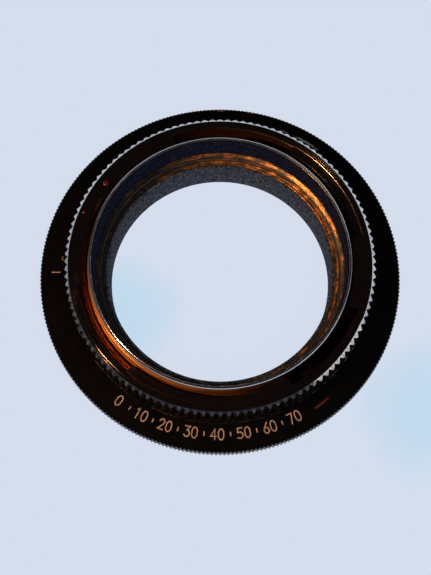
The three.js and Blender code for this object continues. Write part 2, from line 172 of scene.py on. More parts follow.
class RingSizes(PropertyGroup):
    """Sizes that change how the ring's pieces look."""

    flange_radius: length_property(
        "Flange radius",
        "Radius over the crests of the flange's fine knurling",
        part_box("grip_flange")[1].x,
    )
    fine_teeth: count_property("Fine teeth", "Crests round the flange's rim", 280)
    fine_depth: length_property(
        "Fine knurl depth", "Depth of the grooves in the flange's rim", 0.4 * MM
    )
    lock_radius: length_property(
        "Lock ring radius",
        "Radius over the crests of the lock ring's coarse knurling",
        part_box("lock_ring")[1].x,
    )
    lock_top: length_property(
        "Lock ring face", "Height of the lock ring's front face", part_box("lock_ring")[1].z
    )
    coarse_teeth: count_property("Coarse teeth", "Crests round the lock ring", 120)
    coarse_depth: length_property(
        "Coarse knurl depth", "Depth of the V grooves in the lock ring", 0.85 * MM
    )
    lock_bevel: length_property(
        "Lock ring bevel", "Width of the bright bevel round the lock ring's face", 1.0 * MM
    )
    nose_top: length_property("Nose height", "Height of the nose's tip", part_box("barrel")[1].z)
    numeral_height: length_property(
        "Numeral height", "Height of the numerals engraved on the flange", 2.55 * MM
    )
    stroke_width: length_property("Stroke width", "Width of an engraved line", 0.27 * MM)


class RingColours(PropertyGroup):
    """Colours of the ring's finishes."""

    anodising: colour_property("Anodising", "Black anodising of the flange", 0.0022, 0.0020, 0.0024)
    turned_black: colour_property(
        "Turned black", "Warm black of the turned parts", 0.0075, 0.0052, 0.0045
    )
    bare_metal: colour_property(
        "Bare metal", "Metal that shows at bevels and worn edges", 0.78, 0.77, 0.76
    )
    brass: colour_property("Brass", "Brass under the worn black of the seat", 0.31, 0.165, 0.070)
    # The cone's bronze tone partly paints in the warm lamp's glow.
    bronze: colour_property("Bronzed cone", "Worn bronze tone of the nose's cone", 0.62, 0.29, 0.10)
    grey_flock: colour_property("Grey flock", "Flock of the rear bore", 0.062, 0.068, 0.085)
    blue_flock: colour_property("Blue-black flock", "Flock of the nose's bore", 0.011, 0.013, 0.030)
    # The tan paints the warm lamp's tint into pale enamel: painted lamp light.
    scale_paint: colour_property(
        "Scale paint", "Tan enamel in the engraved numerals", 0.86, 0.48, 0.29
    )
    red_enamel: colour_property("Red enamel", "Enamel of the index beads", 0.11, 0.006, 0.004)
    steel: colour_property("Steel", "Bright steel of the rear bayonet", 0.55, 0.55, 0.57)
    floor: colour_property("Floor", "Pale floor under the ring", 0.66, 0.72, 0.845)
    lamp: colour_property("Lamp", "Warm lamp at the left", 1.0, 0.47, 0.17)


def colour(context, name):
    return tuple(getattr(context.scene.ring_colours, name))


def shaded(base, share):
    """The colour made darker or lighter."""
    return tuple(share * channel for channel in base)


# ------------------------------------------------------------------ node expressions


# How much height counts beside radius where a pattern crosses a turned surface. It isn't 1,
# so that the pattern also changes across a 45 degree bevel.
CROSS_SLANT = 0.6


class Field:
    """An output socket of a node tree. Arithmetic on it adds Math nodes."""

    def __init__(self, nodes, socket):
        self.nodes = nodes
        self.socket = socket

    def _math(self, operation, *terms):
        return self.nodes.node("ShaderNodeMath", {"operation": operation}, dict(enumerate(terms)))

    def __add__(self, other):
        return self._math("ADD", self, other)

    def __radd__(self, other):
        return self._math("ADD", other, self)

    def __sub__(self, other):
        return self._math("SUBTRACT", self, other)

    def __rsub__(self, other):
        return self._math("SUBTRACT", other, self)

    def __mul__(self, other):
        return self._math("MULTIPLY", self, other)

    def __rmul__(self, other):
        return self._math("MULTIPLY", other, self)

    def __truediv__(self, other):
        return self._math("DIVIDE", self, other)

    def __rtruediv__(self, other):
        return self._math("DIVIDE", other, self)

    def __gt__(self, other):
        return self._math("GREATER_THAN", self, other)

    def __lt__(self, other):
        return self._math("LESS_THAN", self, other)

    def __abs__(self):
        return self._math("ABSOLUTE", self)

    def sine(self):
        return self._math("SINE", self)

    def cosine(self):
        return self._math("COSINE", self)

    def floor(self):
        return self._math("FLOOR", self)

    def turn_from(self, angle):
        """How far this angle is from another, the short way round."""
        return self._math("ARCCOSINE", (self - angle).cosine())

    def step(self, low, high):
        """0 below low, 1 above high, and smooth between; high may be the lower one."""
        settings = {"interpolation_type": "SMOOTHSTEP"}
        values = {"Value": self, "From Min": low, "From Max": high}
        return self.nodes.node("ShaderNodeMapRange", settings, values)


class Nodes:
    """A node tree under construction."""

    def __init__(self, tree):
        self.tree = tree

    def node(self, kind, settings=None, sockets=None, out=0):
        """One node, its settings first, then its sockets; out is the output that is wanted."""
        made = self.tree.nodes.new(kind)
        for key, value in (settings or {}).items():
            setattr(made, key, value)
        for key, value in (sockets or {}).items():
            self.put(made.inputs[key], value)
        return None if out is None else Field(self, made.outputs[out])

    def put(self, socket, value):
        """Links a socket to a field, or sets its value."""
        if isinstance(value, Field):
            self.tree.links.new(value.socket, socket)
        elif socket.type == "RGBA" and len(value) == 3:
            socket.default_value = (*value, 1.0)
        else:
            socket.default_value = value


class Finish(Nodes):
    """A material under construction, with its nodes and its shader."""

    def __init__(self, name, **constants):
        self.material = bpy.data.materials.new(name + "_finish")
        self.material.use_nodes = True
        super().__init__(self.material.node_tree)
        self.shader = self.tree.nodes["Principled BSDF"]
        self.feed(**constants)

    def feed(self, **inputs):
        """Sets or links the shader's inputs; a name's underscores stand for spaces."""
        for key, value in inputs.items():
            self.put(self.shader.inputs[key.replace("_", " ")], value)
        return self

    def place(self):
        """The point on the piece, in its own frame."""
        return self.node("ShaderNodeTexCoord", out="Object")

    def axis(self, vector, index):
        """One number of a vector."""
        return self.node("ShaderNodeSeparateXYZ", None, {0: vector}, index)

    def vector(self, operation, *terms, out=0):
        """Arithmetic on vectors."""
        terms = dict(enumerate(terms))
        return self.node("ShaderNodeVectorMath", {"operation": operation}, terms, out)

    def mix(self, factor, first, second):
        """A colour between two colours."""
        sockets = {0: factor, 6: first, 7: second}
        return self.node("ShaderNodeMix", {"data_type": "RGBA"}, sockets, 2)

    def bump(self, height, strength, distance, **sockets):
        """A normal tilted by the slopes of a height, which counts for distance millimetres."""
        sockets |= {"Height": height, "Strength": strength, "Distance": distance * MM}
        return self.node("ShaderNodeBump", None, sockets)

    def cloud(self, scale, detail=2.0, roughness=0.5, vector=None):
        """Soft noise from 0 to 1, with cells about 1/scale metres wide."""
        sockets = {
            "Vector": vector or self.place(),
            "Scale": scale,
            "Detail": detail,
            "Roughness": roughness,
        }
        return self.node("ShaderNodeTexNoise", None, sockets)

    def polar(self):
        """Radius and angle about the ring's axis, and the height, of the point."""
        point = self.place()
        flat = self.vector("MULTIPLY", point, (1.0, 1.0, 0.0))
        radius = self.vector("LENGTH", flat, out="Value")
        x, y, z = (self.axis(point, i) for i in range(3))
        angle = self.node("ShaderNodeMath", {"operation": "ARCTAN2"}, {0: y, 1: x})
        return radius, angle, z

    def around(self, radius, angle, z, stretch):
        """A place whose angle counts for little, so that patterns run round the ring."""
        x, y = angle.cosine() * (stretch * MM), angle.sine() * (stretch * MM)
        return self.node("ShaderNodeCombineXYZ", None, {0: x, 1: y, 2: radius + z * CROSS_SLANT})

    def turned_normal(self, depth, pitch, waviness=0.0):
        """The surface's normal, tilted across the marks that a lathe tool leaves."""
        point = self.place()
        outward = self.vector("NORMALIZE", self.vector("MULTIPLY", point, (1.0, 1.0, 0.0)))
        along = self.vector("CROSS_PRODUCT", (0.0, 0.0, 1.0), outward)
        settings = {"vector_type": "VECTOR", "convert_from": "OBJECT", "convert_to": "WORLD"}
        along = self.node("ShaderNodeVectorTransform", settings, {0: along})
        normal = self.node("ShaderNodeNewGeometry", out="Normal")
        across = self.vector("CROSS_PRODUCT", along, normal)
        radius, angle, z = self.polar()
        mark = ((radius + z * CROSS_SLANT) / (pitch * MM)).floor()
        tilt = self.node("ShaderNodeTexWhiteNoise", {"noise_dimensions": "1D"}, {"W": mark})
        tilt = (tilt - 0.5) * (2.0 * depth)
        if waviness:
            ripple = self.cloud(900.0, 1.0, vector=self.around(radius, angle, z, 2.0))
            tilt = tilt + (ripple - 0.5) * waviness
        shift = self.vector("SCALE", across, (0.0, 0.0, 0.0), (0.0, 0.0, 0.0), tilt)
        return self.vector("NORMALIZE", self.vector("ADD", normal, shift))


# What shows where a finish is marked; the warm rub colour also paints in the lamp's warm sheen on the
# black.
WARM_RUB_AND_SHEEN = (0.16, 0.065, 0.035)
DUST = (0.05, 0.05, 0.055)
LINT = (0.30, 0.31, 0.34)
BLACK_ISLAND = (0.012, 0.010, 0.011)


def black_metal(name, base, roughness, depth, warm=0.0, scuffs=(), gloss=0.5):
    """Black anodising over turned metal: tool marks, rub marks that also carry a painted warm sheen of
    the lamp, dust and scuffs.
    """
    finish = Finish(name, Specular_IOR_Level=gloss)
    radius, angle, z = finish.polar()
    rings = finish.cloud(1600.0, 3.0, vector=finish.around(radius, angle, z, 6.0))
    haze = finish.cloud(90.0, 4.0, 0.6)
    dust = finish.cloud(2600.0, 1.0).step(0.74, 0.80)
    shade = finish.mix(haze, shaded(base, 0.6), shaded(base, 1.5))
    if warm:
        # Reddish patches in streaks round the ring: rub marks, with the lamp's warm sheen painted in.
        rub_and_sheen_patch = finish.cloud(260.0, 5.0, 0.65, finish.around(radius, angle, z, 12.0))
        rub_and_sheen_patch = rub_and_sheen_patch.step(0.60, 0.74) * warm
        shade = finish.mix(rub_and_sheen_patch, shade, WARM_RUB_AND_SHEEN)
    shade = finish.mix(dust * 0.35, shade, DUST)
    dashes = finish.cloud(900.0, 3.0, 0.7, finish.around(radius, angle, z, 8.0))
    for ring, width, start, end, tint in scuffs:
        band = 1.0 - abs(radius - ring * MM).step(0.5 * width * MM, width * MM)
        middle, half = math.radians((start + end) / 2), math.radians((end - start) / 2)
        window = 1.0 - angle.turn_from(middle).step(0.8 * half, half)
        front = z > (FLANGE_FRONT - 0.5) * MM
        shade = finish.mix(band * window * front * dashes.step(0.46, 0.56), shade, tint)
    finish.feed(
        Base_Color=shade,
        Roughness=roughness + (rings - 0.5) * 0.16 + (haze - 0.5) * 0.18 + dust * 0.3,
        Normal=finish.turned_normal(depth, 0.035, depth * 0.8),
    )
    return finish.material


def rubbed_metal(name, bare, cover, amount, roughness=0.22):
    """Bare metal where black has been rubbed off; amount is the share that is bare."""
    finish = Finish(name)
    radius, angle, z = finish.polar()
    patch = finish.cloud(420.0, 6.0, 0.7, finish.around(radius, angle, z, 14.0))
    lowest = 0.62 - 0.36 * amount
    worn = patch.step(lowest, lowest + 0.08)
    scratch = finish.cloud(3000.0, 2.0, vector=finish.around(radius, angle, z, 20.0))
    finish.feed(
        Base_Color=finish.mix(worn, cover, finish.mix(scratch, shaded(bare, 0.7), bare)),
        Metallic=worn,
        Roughness=roughness + (scratch - 0.5) * 0.2 + (1.0 - worn) * 0.15,
        Normal=finish.turned_normal(0.06, 0.05, 0.05),
    )
    return finish.material


def worn_brass(name, brass):
    """Brass with islands of black finish left, rough at their edges."""
    finish = Finish(name)
    radius, angle, z = finish.polar()
    islands = finish.cloud(950.0, 7.0, 0.7, finish.around(radius, angle, z, 7.0))
    # The brass is bared more toward the lamp's highlight: real wear laid out as a painted highlight.
    toward_lamp_glint = (angle - MOST_WORN_TOWARD_GLINT).cosine()
    worn = (islands + toward_lamp_glint * 0.07).step(0.525, 0.555)
    pits = finish.cloud(1700.0, 3.0, 0.6)
    tarnish = finish.cloud(520.0, 5.0, 0.65)
    metal = finish.mix(tarnish.step(0.35, 0.65), shaded(brass, 0.22), brass)
    normal = finish.turned_normal(0.28, 0.05, 0.3)
    finish.feed(
        Base_Color=finish.mix(worn, BLACK_ISLAND, metal),
        Metallic=worn * 0.9,
        Roughness=0.30 + tarnish * 0.3 - pits * 0.1,
        Normal=finish.bump(tarnish * 0.6 + pits, 0.8, 0.12, Normal=normal),
    )
    return finish.material


def flock(name, base, lint):
    """Short fibres: speckled, matt, with crinkles and lint."""
    finish = Finish(name, Specular_IOR_Level=0.02)
    fibres = finish.cloud(1500.0, 4.0, 0.8)
    tufts = finish.cloud(620.0, 3.0, 0.6)
    specks = finish.cloud(1300.0, 2.0).step(0.62, 0.70)
    shade = finish.mix(fibres.step(0.36, 0.66), shaded(base, 0.2), shaded(base, 2.2))
    shade = finish.mix(specks * lint, shade, LINT)
    finish.feed(
        Base_Color=shade,
        Roughness=0.8 + tufts * 0.2,
        Normal=finish.bump(fibres * 0.7 + tufts, 1.0, 0.25),
    )
    return finish.material


def turned_metal(name, base, roughness, depth, spots=0.0, wear=None):
    """Turned metal with tool marks, scratches and stains; where wear is given, the colour stays only
    round one angle, the side toward the warm lamp, and is painted dark away from it as painted shade.
    """
    finish = Finish(name, Metallic=1.0)
    radius, angle, z = finish.polar()
    rings = finish.cloud(1500.0, 3.0, vector=finish.around(radius, angle, z, 5.0))
    stain = finish.cloud(160.0, 5.0, 0.6)
    marks = finish.cloud(900.0, 4.0, 0.7).step(0.62, 0.70) * spots
    shade = finish.mix(stain, shaded(base, 0.7), base)
    if wear:
        middle, full, none = (math.radians(value) for value in wear)
        away = angle.turn_from(middle)
        # Painted shade: away from the lamp's side the colour drops to 6 per cent of itself.
        shade = finish.mix(away.step(full, none), shade, shaded(base, 0.06))
    finish.feed(
        Base_Color=finish.mix(marks, shade, shaded(base, 0.2)),
        Roughness=roughness + (rings - 0.5) * 0.2 + marks * 0.25,
        Normal=finish.turned_normal(depth, 0.04, depth),
    )
    return finish.material


def enamel(name, base, roughness, wear):
    """Enamel laid in an engraved mark, thinned and chipped by handling."""
    finish = Finish(name, Coat_Roughness=0.15, IOR=1.45)
    streak = finish.cloud(800.0, 4.0, 0.6)
    chips = finish.cloud(1400.0, 4.0, 0.6).step(0.60, 0.68) * wear
    shade = finish.mix(streak, shaded(base, 0.6), shaded(base, 1.25))
    finish.feed(
        Base_Color=finish.mix(chips, shade, shaded(base, 0.12)),
        Roughness=roughness + streak * 0.15,
        Coat_Weight=0.4 * (1.0 - chips),
        Normal=finish.bump(streak - chips, 0.4, 0.03),
    )
    return finish.material


# Where the seat ring's brass shows most, in radians: the side where the warm lamp's highlight falls, so
# the brass bared there is also a painted highlight.
MOST_WORN_TOWARD_GLINT = 0.8

# Where the cone keeps its bronze, which is the side toward the warm lamp, with painted shade round the
# rest: middle, and how far away the painted shade starts and is total, in degrees.
CONE_LAMP_SIDE = (-146.0, 14.0, 92.0)

# Scuffs on the flange: radius and width in mm, start and end in degrees, colour.
FLANGE_SCUFFS = (
    (42.8, 0.30, 52.0, 68.0, (0.30, 0.30, 0.32)),
    (41.9, 0.22, 48.0, 60.0, (0.16, 0.11, 0.08)),
    (45.3, 0.20, 88.4, 90.8, (0.20, 0.08, 0.04)),
    (45.5, 0.20, 78.4, 80.6, (0.20, 0.08, 0.04)),
    (42.0, 0.35, -57.0, -50.0, (0.14, 0.03, 0.015)),
)


def machined(roughness, depth, **more):
    """Settings of a finish with tool marks: its roughness and how deep the marks look."""
    return {"roughness": roughness, "depth": depth, **more}


# Each finish's maker, its colour or the name of its colour, and its other settings.
FINISHES = {
    "black_anodised": (
        black_metal, "anodising", machined(0.30, 0.05, scuffs=FLANGE_SCUFFS, gloss=0.06)
    ),
    "lock_ring_black": (black_metal, "turned_black", machined(0.13, 0.5, warm=0.3, gloss=0.13)),
    "turned_black": (black_metal, "turned_black", machined(0.24, 0.5, warm=0.3)),
    "channel_wall": (turned_metal, (0.060, 0.024, 0.014), machined(0.5, 1.0, spots=0.6)),
    "step_metal": (turned_metal, (0.12, 0.11, 0.105), machined(0.2, 0.35, spots=0.4)),
    "bronzed_cone": (turned_metal, "bronze", machined(0.42, 1.25, spots=0.7, wear=CONE_LAMP_SIDE)),
    "bayonet_steel": (turned_metal, "steel", machined(0.28, 0.08, spots=0.5)),
    "spring_steel": (turned_metal, (0.5, 0.5, 0.51), machined(0.22, 0.04)),
    "blackened_steel": (turned_metal, (0.06, 0.06, 0.065), machined(0.34, 0.04, spots=0.3)),
    "phosphor_bronze": (turned_metal, (0.70, 0.36, 0.16), machined(0.25, 0.03, spots=0.4)),
    "bright_bevel": (
        rubbed_metal, "bare_metal", {"cover": (0.04, 0.04, 0.045), "amount": 1.0, "roughness": 0.12}
    ),
    "rubbed_edge": (rubbed_metal, "bare_metal", {"cover": (0.02, 0.016, 0.015), "amount": 0.45}),
    "worn_brass": (worn_brass, "brass", {}),
    "grey_flock": (flock, "grey_flock", {"lint": 0.35}),
    "blue_black_flock": (flock, "blue_flock", {"lint": 0.12}),
    # Both enamels take the tan that paints in the warm lamp's tint.
    "scale_paint": (enamel, "scale_paint", {"roughness": 0.45, "wear": 0.35}),
    "index_paint": (enamel, "scale_paint", {"roughness": 0.45, "wear": 0.8}),
    "red_paint": (enamel, "red_enamel", {"roughness": 0.2, "wear": 0.2}),
}


def finish_named(context, name):
    """The finish of that name, made the first time it is asked for."""
    made = bpy.data.materials.get(name + "_finish")
    if made:
        return made
    maker, base, settings = FINISHES[name]
    if isinstance(base, str):
        base = colour(context, base)
    return maker(name, base, **settings)


# ------------------------------------------------------------------ mesh building


def corner(r, z, ease=0.0, steps=1, finish=0):
    """A corner of a section; ease cuts it back, and finish is for the edge after it."""
    return r, z, ease, steps, finish


def eased(corners):
    """The section's points with its corners cut or rounded, and a finish for each edge."""
    points, finishes = [], []
    count = len(corners)
    for i, (r, z, ease, steps, finish) in enumerate(corners):
        here = Vector((r, z))
        if not ease:
            points.append(here)
            finishes.append(finish)
            continue
        before = (Vector(corners[i - 1][:2]) - here).normalized() * ease
        after = (Vector(corners[(i + 1) % count][:2]) - here).normalized() * ease
        for k in range(steps + 1):
            t = k / steps
            points.append(here + before * (1 - t) ** 2 + after * t**2)
            finishes.append(finish if k == steps else corners[i - 1][4])
    return [tuple(p) for p in points], finishes


def wall(first, second, before, after):
    """The polygons that close a step between two sections at one angle."""
    count = len(before)
    same = [math.dist(a, b) < 1e-6 for a, b in zip(before, after)]
    start = same.index(True)
    order = [(start + k) % count for k in range(count + 1)]
    polygons, run = [], []
    for previous, here in zip(order, order[1:]):
        if not same[here]:
            run = run or [previous]
            run.append(here)
        elif run:
            run.append(here)
            loop = [(first + k, before[k]) for k in run]
            loop += [(second + k, after[k]) for k in reversed(run[1:-1])]
            kept = []
            for vertex, point in loop:
                if not kept or math.dist(point, kept[-1][1]) > 1e-6:
                    kept.append((vertex, point))
            while len(kept) > 1 and math.dist(kept[0][1], kept[-1][1]) <= 1e-6:
                kept.pop()
            if len(kept) > 2:
                polygons.append([vertex for vertex, _ in kept])
            run = []
    return polygons


def skin(name, stations, finishes, wall_finish=0):
    """A closed ring-shaped mesh through sections [(r, z), ...] set at angles in degrees."""
    count = len(finishes)
    vertices, faces, marks = [], [], []
    for angle, section in stations:
        c, s = math.cos(math.radians(angle)), math.sin(math.radians(angle))
        vertices += [(r * c * MM, r * s * MM, z * MM) for r, z in section]
    for i, (angle, section) in enumerate(stations):
        j = (i + 1) % len(stations)
        if abs(stations[j][0] - angle) < 1e-7:
            made = wall(i * count, j * count, section, stations[j][1])
            faces += made
            marks += [wall_finish] * len(made)
            continue
        for k in range(count):
            n = (k + 1) % count
            faces.append((i * count + k, j * count + k, j * count + n, i * count + n))
            marks.append(finishes[k])
    return mesh_of(name, vertices, faces, marks)


def mesh_of(name, vertices, faces, marks=None):
    """A clean mesh with its normals outward."""
    mesh = bpy.data.meshes.new(name)
    mesh.from_pydata(vertices, [], faces)
    if marks:
        mesh.polygons.foreach_set("material_index", marks)
    form = bmesh.new()
    form.from_mesh(mesh)
    bmesh.ops.remove_doubles(form, verts=form.verts, dist=2e-7)
    flat = [f for f in form.faces if f.calc_area() < 1e-15]
    bmesh.ops.delete(form, geom=flat, context="FACES")
    bmesh.ops.recalc_face_normals(form, faces=form.faces)
    form.to_mesh(mesh)
    form.free()
    return mesh


def turned(name, corners, segments=360):
    """A mesh turned about the ring's axis from a section's corners."""
    points, finishes = eased(corners)
    stations = [(i * 360 / segments, points) for i in range(segments)]
    return skin(name, stations, finishes)


def spindle(name, corners, segments=48):
    """A mesh turned about its own axis, whose section starts and ends on the axis."""
    points, finishes = eased(corners)
    vertices, faces, marks = [], [], []
    for i in range(segments):
        a = 2 * math.pi * i / segments
        vertices += [(r * math.cos(a) * MM, r * math.sin(a) * MM, z * MM) for r, z in points]
    count = len(points)
    for i in range(segments):
        j = (i + 1) % segments
        for k in range(count - 1):
            faces.append((i * count + k, j * count + k, j * count + k + 1, i * count + k + 1))
            marks.append(finishes[k])
    return mesh_of(name, vertices, faces, marks)


def cut(mesh, cutters):
    """The mesh less the cutters' meshes."""
    body = bpy.data.objects.new("blank", mesh)
    tool_form = bmesh.new()
    for cutter in cutters:
        tool_form.from_mesh(cutter)
    tool_mesh = bpy.data.meshes.new("tool")
    tool_form.to_mesh(tool_mesh)
    tool_form.free()
    tool = bpy.data.objects.new("tool", tool_mesh)
    for thing in (body, tool):
        bpy.context.scene.collection.objects.link(thing)
    modifier = body.modifiers.new("cut", "BOOLEAN")
    modifier.operation = "DIFFERENCE"
    modifier.solver = "EXACT"
    modifier.use_self = True
    modifier.object = tool
    bpy.context.view_layer.update()
    depsgraph = bpy.context.evaluated_depsgraph_get()
    result = bpy.data.meshes.new_from_object(body.evaluated_get(depsgraph))
    result.name = mesh.name
    for thing in (body, tool):
        bpy.data.objects.remove(thing)
    return result


def moved(mesh, matrix):
    """A copy of the mesh, put through a matrix."""
    copy = mesh.copy()
    copy.transform(matrix)
    return copy


def at(radius, angle, height=0.0):
    """Where a thing built on the axis goes, with its X axis turned outward."""
    turn = Matrix.Rotation(math.radians(angle), 4, "Z")
    return turn @ Matrix.Translation((radius * MM, 0.0, height * MM))


def piece(context, name, mesh, body, finishes, *nodes, crease=30.0):
    """The mesh as a shown piece that rides on a body and stands for CAD nodes.

    The mesh's material indices count through the finishes.
    """
    marks = [polygon.material_index for polygon in mesh.polygons]
    mesh.materials.clear()
    for finish in finishes:
        mesh.materials.append(finish_named(context, finish))
    mesh.polygons.foreach_set("material_index", marks)
    mesh.shade_smooth()
    mesh.set_sharp_from_angle(angle=math.radians(crease))
    made = bpy.data.objects.new(name, mesh)
    context.scene.collection.objects.link(made)
    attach(made, body)
    if nodes:
        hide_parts(*nodes)
    return made


# ------------------------------------------------------------------ knurling and engraving


class Knurling:
    """Straight V knurling: crests of a flat share of the pitch, and grooves between them."""

    BLUNTNESS = 0.03
    ROOT = 0.475

    def __init__(self, teeth, flat, crossing=None):
        """crossing is a share of the depth at which the grooves' sides also get a corner."""
        self.pitch = 360 / teeth
        half = flat / 2
        slope = 0.5 - half
        blunt = min(self.BLUNTNESS, half * 0.6 + 0.015)
        corners = [(half - blunt / 2, 0.0), (half + blunt, blunt / slope)]
        if crossing:
            corners.append((half + crossing * slope, crossing))
        corners.append((self.ROOT, (self.ROOT - half) / slope))
        outline = sorted([(-share, depth) for share, depth in corners] + corners)
        before, after = outline[-1], outline[0]
        self.outline = [(before[0] - 1, before[1]), *outline, (after[0] + 1, after[1])]
        places = [tooth + side * c[0] for tooth in range(teeth) for c in corners for side in (1, -1)]
        self.angles = sorted(place * self.pitch % 360 for place in places)

    def share(self, angle):
        """How far an angle is from the nearest crest's middle, as a share of the pitch."""
        return (angle / self.pitch + 0.5) % 1 - 0.5

    def depth(self, angle):
        """The share of the knurling's depth at an angle."""
        share = self.share(angle)
        for (low, a), (high, b) in zip(self.outline, self.outline[1:]):
            if low - 1e-9 <= share <= high + 1e-9:
                return a if high - low < 1e-12 else a + (b - a) * (share - low) / (high - low)
        raise ValueError(f"no knurling at {angle}")


# Strokes of the numerals, on a grid 2 wide and 4 high.
NUMERALS = {
    "0": [[(0, 1), (0, 3), (0.6, 4), (1.4, 4), (2, 3), (2, 1), (1.4, 0), (0.6, 0), (0, 1)]],
    "1": [[(0.4, 3.2), (1.1, 4), (1.1, 0)]],
    "2": [[(0, 3), (0.6, 4), (1.4, 4), (2, 3.1), (1.7, 2.2), (0, 0), (2, 0)]],
    "3": [[(0, 4), (2, 4), (0.9, 2.4), (1.5, 2.3), (2, 1.6), (2, 0.8), (1.4, 0), (0.6, 0), (0, 0.6)]],
    "4": [[(1.5, 0), (1.5, 4), (0, 1.2), (2, 1.2)]],
    "5": [[(1.9, 4), (0.2, 4), (0.1, 2.3), (1.2, 2.5), (2, 1.8), (2, 0.8), (1.3, 0), (0, 0.3)]],
    "6": [
        [(1.7, 4), (0.4, 2.2), (0, 1.1), (0.5, 0.1), (1.4, 0), (2, 0.8), (1.7, 2), (0.8, 2.3), (0.3, 1.9)]
    ],
    "7": [[(0, 4), (2, 4), (0.7, 0)]],
}


def stroke_outline(points, width):
    """The outline round a line of points, as (left side, right side)."""
    left, right = [], []
    for i, point in enumerate(points):
        here = Vector(point)
        back = (here - Vector(points[i - 1])).normalized() if i else None
        ahead = (Vector(points[i + 1]) - here).normalized() if i + 1 < len(points) else None
        along = ((back or ahead) + (ahead or back)).normalized()
        side = Vector((-along.y, along.x))
        lean = side.dot(Vector((-(ahead or back).y, (ahead or back).x)))
        reach = width / 2 / max(lean, 0.5)
        end = along * (width / 2 * ((ahead is None) - (back is None)))
        left.append(here + side * reach + end)
        right.append(here - side * reach + end)
    return left, right


def engraved(name, strokes, width, low, high):
    """Closed bars along strokes given as (radius, angle) points, between two heights."""
    vertices, faces = [], []
    for stroke in strokes:
        flat = [
            (r * math.cos(math.radians(a)), r * math.sin(math.radians(a))) for r, a in stroke
        ]
        left, right = stroke_outline(flat, width)
        base = len(vertices)
        for l, r in zip(left, right):
            for point, z in ((l, low), (r, low), (r, high), (l, high)):
                vertices.append((point.x * MM, point.y * MM, z * MM))
        last = base + 4 * (len(flat) - 1)
        for first in range(base, last, 4):
            for k in range(4):
                n = (k + 1) % 4
                faces.append((first + k, first + 4 + k, first + 4 + n, first + n))
        faces += [(base, base + 1, base + 2, base + 3), (last + 3, last + 2, last + 1, last)]
    return mesh_of(name, vertices, faces)


def scale_strokes(height):
    """The numerals 0 to 70 and the ticks between them, as (radius, angle) lines."""
    unit = height / 4
    advance = 2.9 * unit
    strokes = []
    for mark in range(SCALE_MARKS):
        centre = SCALE_START + SCALE_STEP * mark
        text = str(10 * mark)
        for i, figure in enumerate(text):
            shift = (i - (len(text) - 1) / 2) * advance
            for line in NUMERALS[figure]:
                points = []
                for x, y in line:
                    across = (x - 1) * unit + shift
                    turn = math.degrees(across / SCALE_RADIUS)
                    points.append((SCALE_RADIUS - (y - 2) * unit, centre + turn))
                strokes.append(points)
        if mark < SCALE_MARKS - 1:
            tick = centre + SCALE_STEP / 2
            strokes.append([(SCALE_RADIUS - TICK_REACH, tick), (SCALE_RADIUS + TICK_REACH, tick)])
    return strokes


# The line that the scale is read against.
INDEX_LINE = [[(40.9, 180.0), (42.9, 180.0)]]


# ------------------------------------------------------------------ fixed pieces


class ADAPTER_OT_barrel(Operator):
    """Turn the barrel with its nose, its lug channel and its journal"""

    bl_idname = "adapter.barrel"
    bl_label = "Barrel"

    def execute(self, context):
        top = context.scene.ring_sizes.nose_top / MM
        tip = top - 0.02
        groove, half = 0.12, 0.04
        bright, rubbed, brass, cone = 1, 2, 3, 4
        corners = [
            corner(REAR_SLEEVE, REAR_END, 0.1),
            corner(REAR_SLEEVE, FLANGE_BACK),
            corner(SPIGOT, FLANGE_BACK, 0.1),
            corner(SPIGOT, POCKET),
            corner(JOURNAL, POCKET, 0.1),
            corner(JOURNAL, RIM_UNDER),
            corner(RIM, RIM_UNDER, 0.1),
            # The channel floor, its fillet and the cone take the bronze that paints in the lamp's glow.
            corner(RIM, FLOOR, 0.12, 2, cone),
            corner(NOSE_BASE, FLOOR, 1.3, 8, cone),
            corner(NOSE_SHOULDER, NOSE_SHOULDER_Z, 0.08, 2, bright),
            corner(NOSE_SHOULDER - 0.24, NOSE_SHOULDER_Z + 0.36, 0.36, 6, bright),
            corner(NOSE_TIP, tip, 0.05, 2, rubbed),
            corner(NOSE_BORE, tip, 0.05, 1),
        ]
        for z in (top - 0.45, top - 0.85):
            corners += [
                corner(NOSE_BORE, z + 2 * half),
                corner(NOSE_BORE + groove, z + half),
                corner(NOSE_BORE + groove, z - half),
                corner(NOSE_BORE, z - 2 * half),
            ]
        corners += [
            corner(NOSE_BORE, SEAT, finish=brass),
            corner(SEAT_BORE, SEAT, 0.04, 1, brass),
            corner(SEAT_BORE, LINING_SHOULDER, 0.25, 3, brass),
            corner(LOWER_SEAT, LINING_SHOULDER, 0.08, 1),
            corner(LOWER_SEAT, REAR_END, 0.1),
        ]
        finishes = ("turned_black", "bright_bevel", "rubbed_edge", "worn_brass", "bronzed_cone")
        piece(context, "barrel_turned", turned("barrel", corners), FIXED, finishes, "barrel")
        return {"FINISHED"}


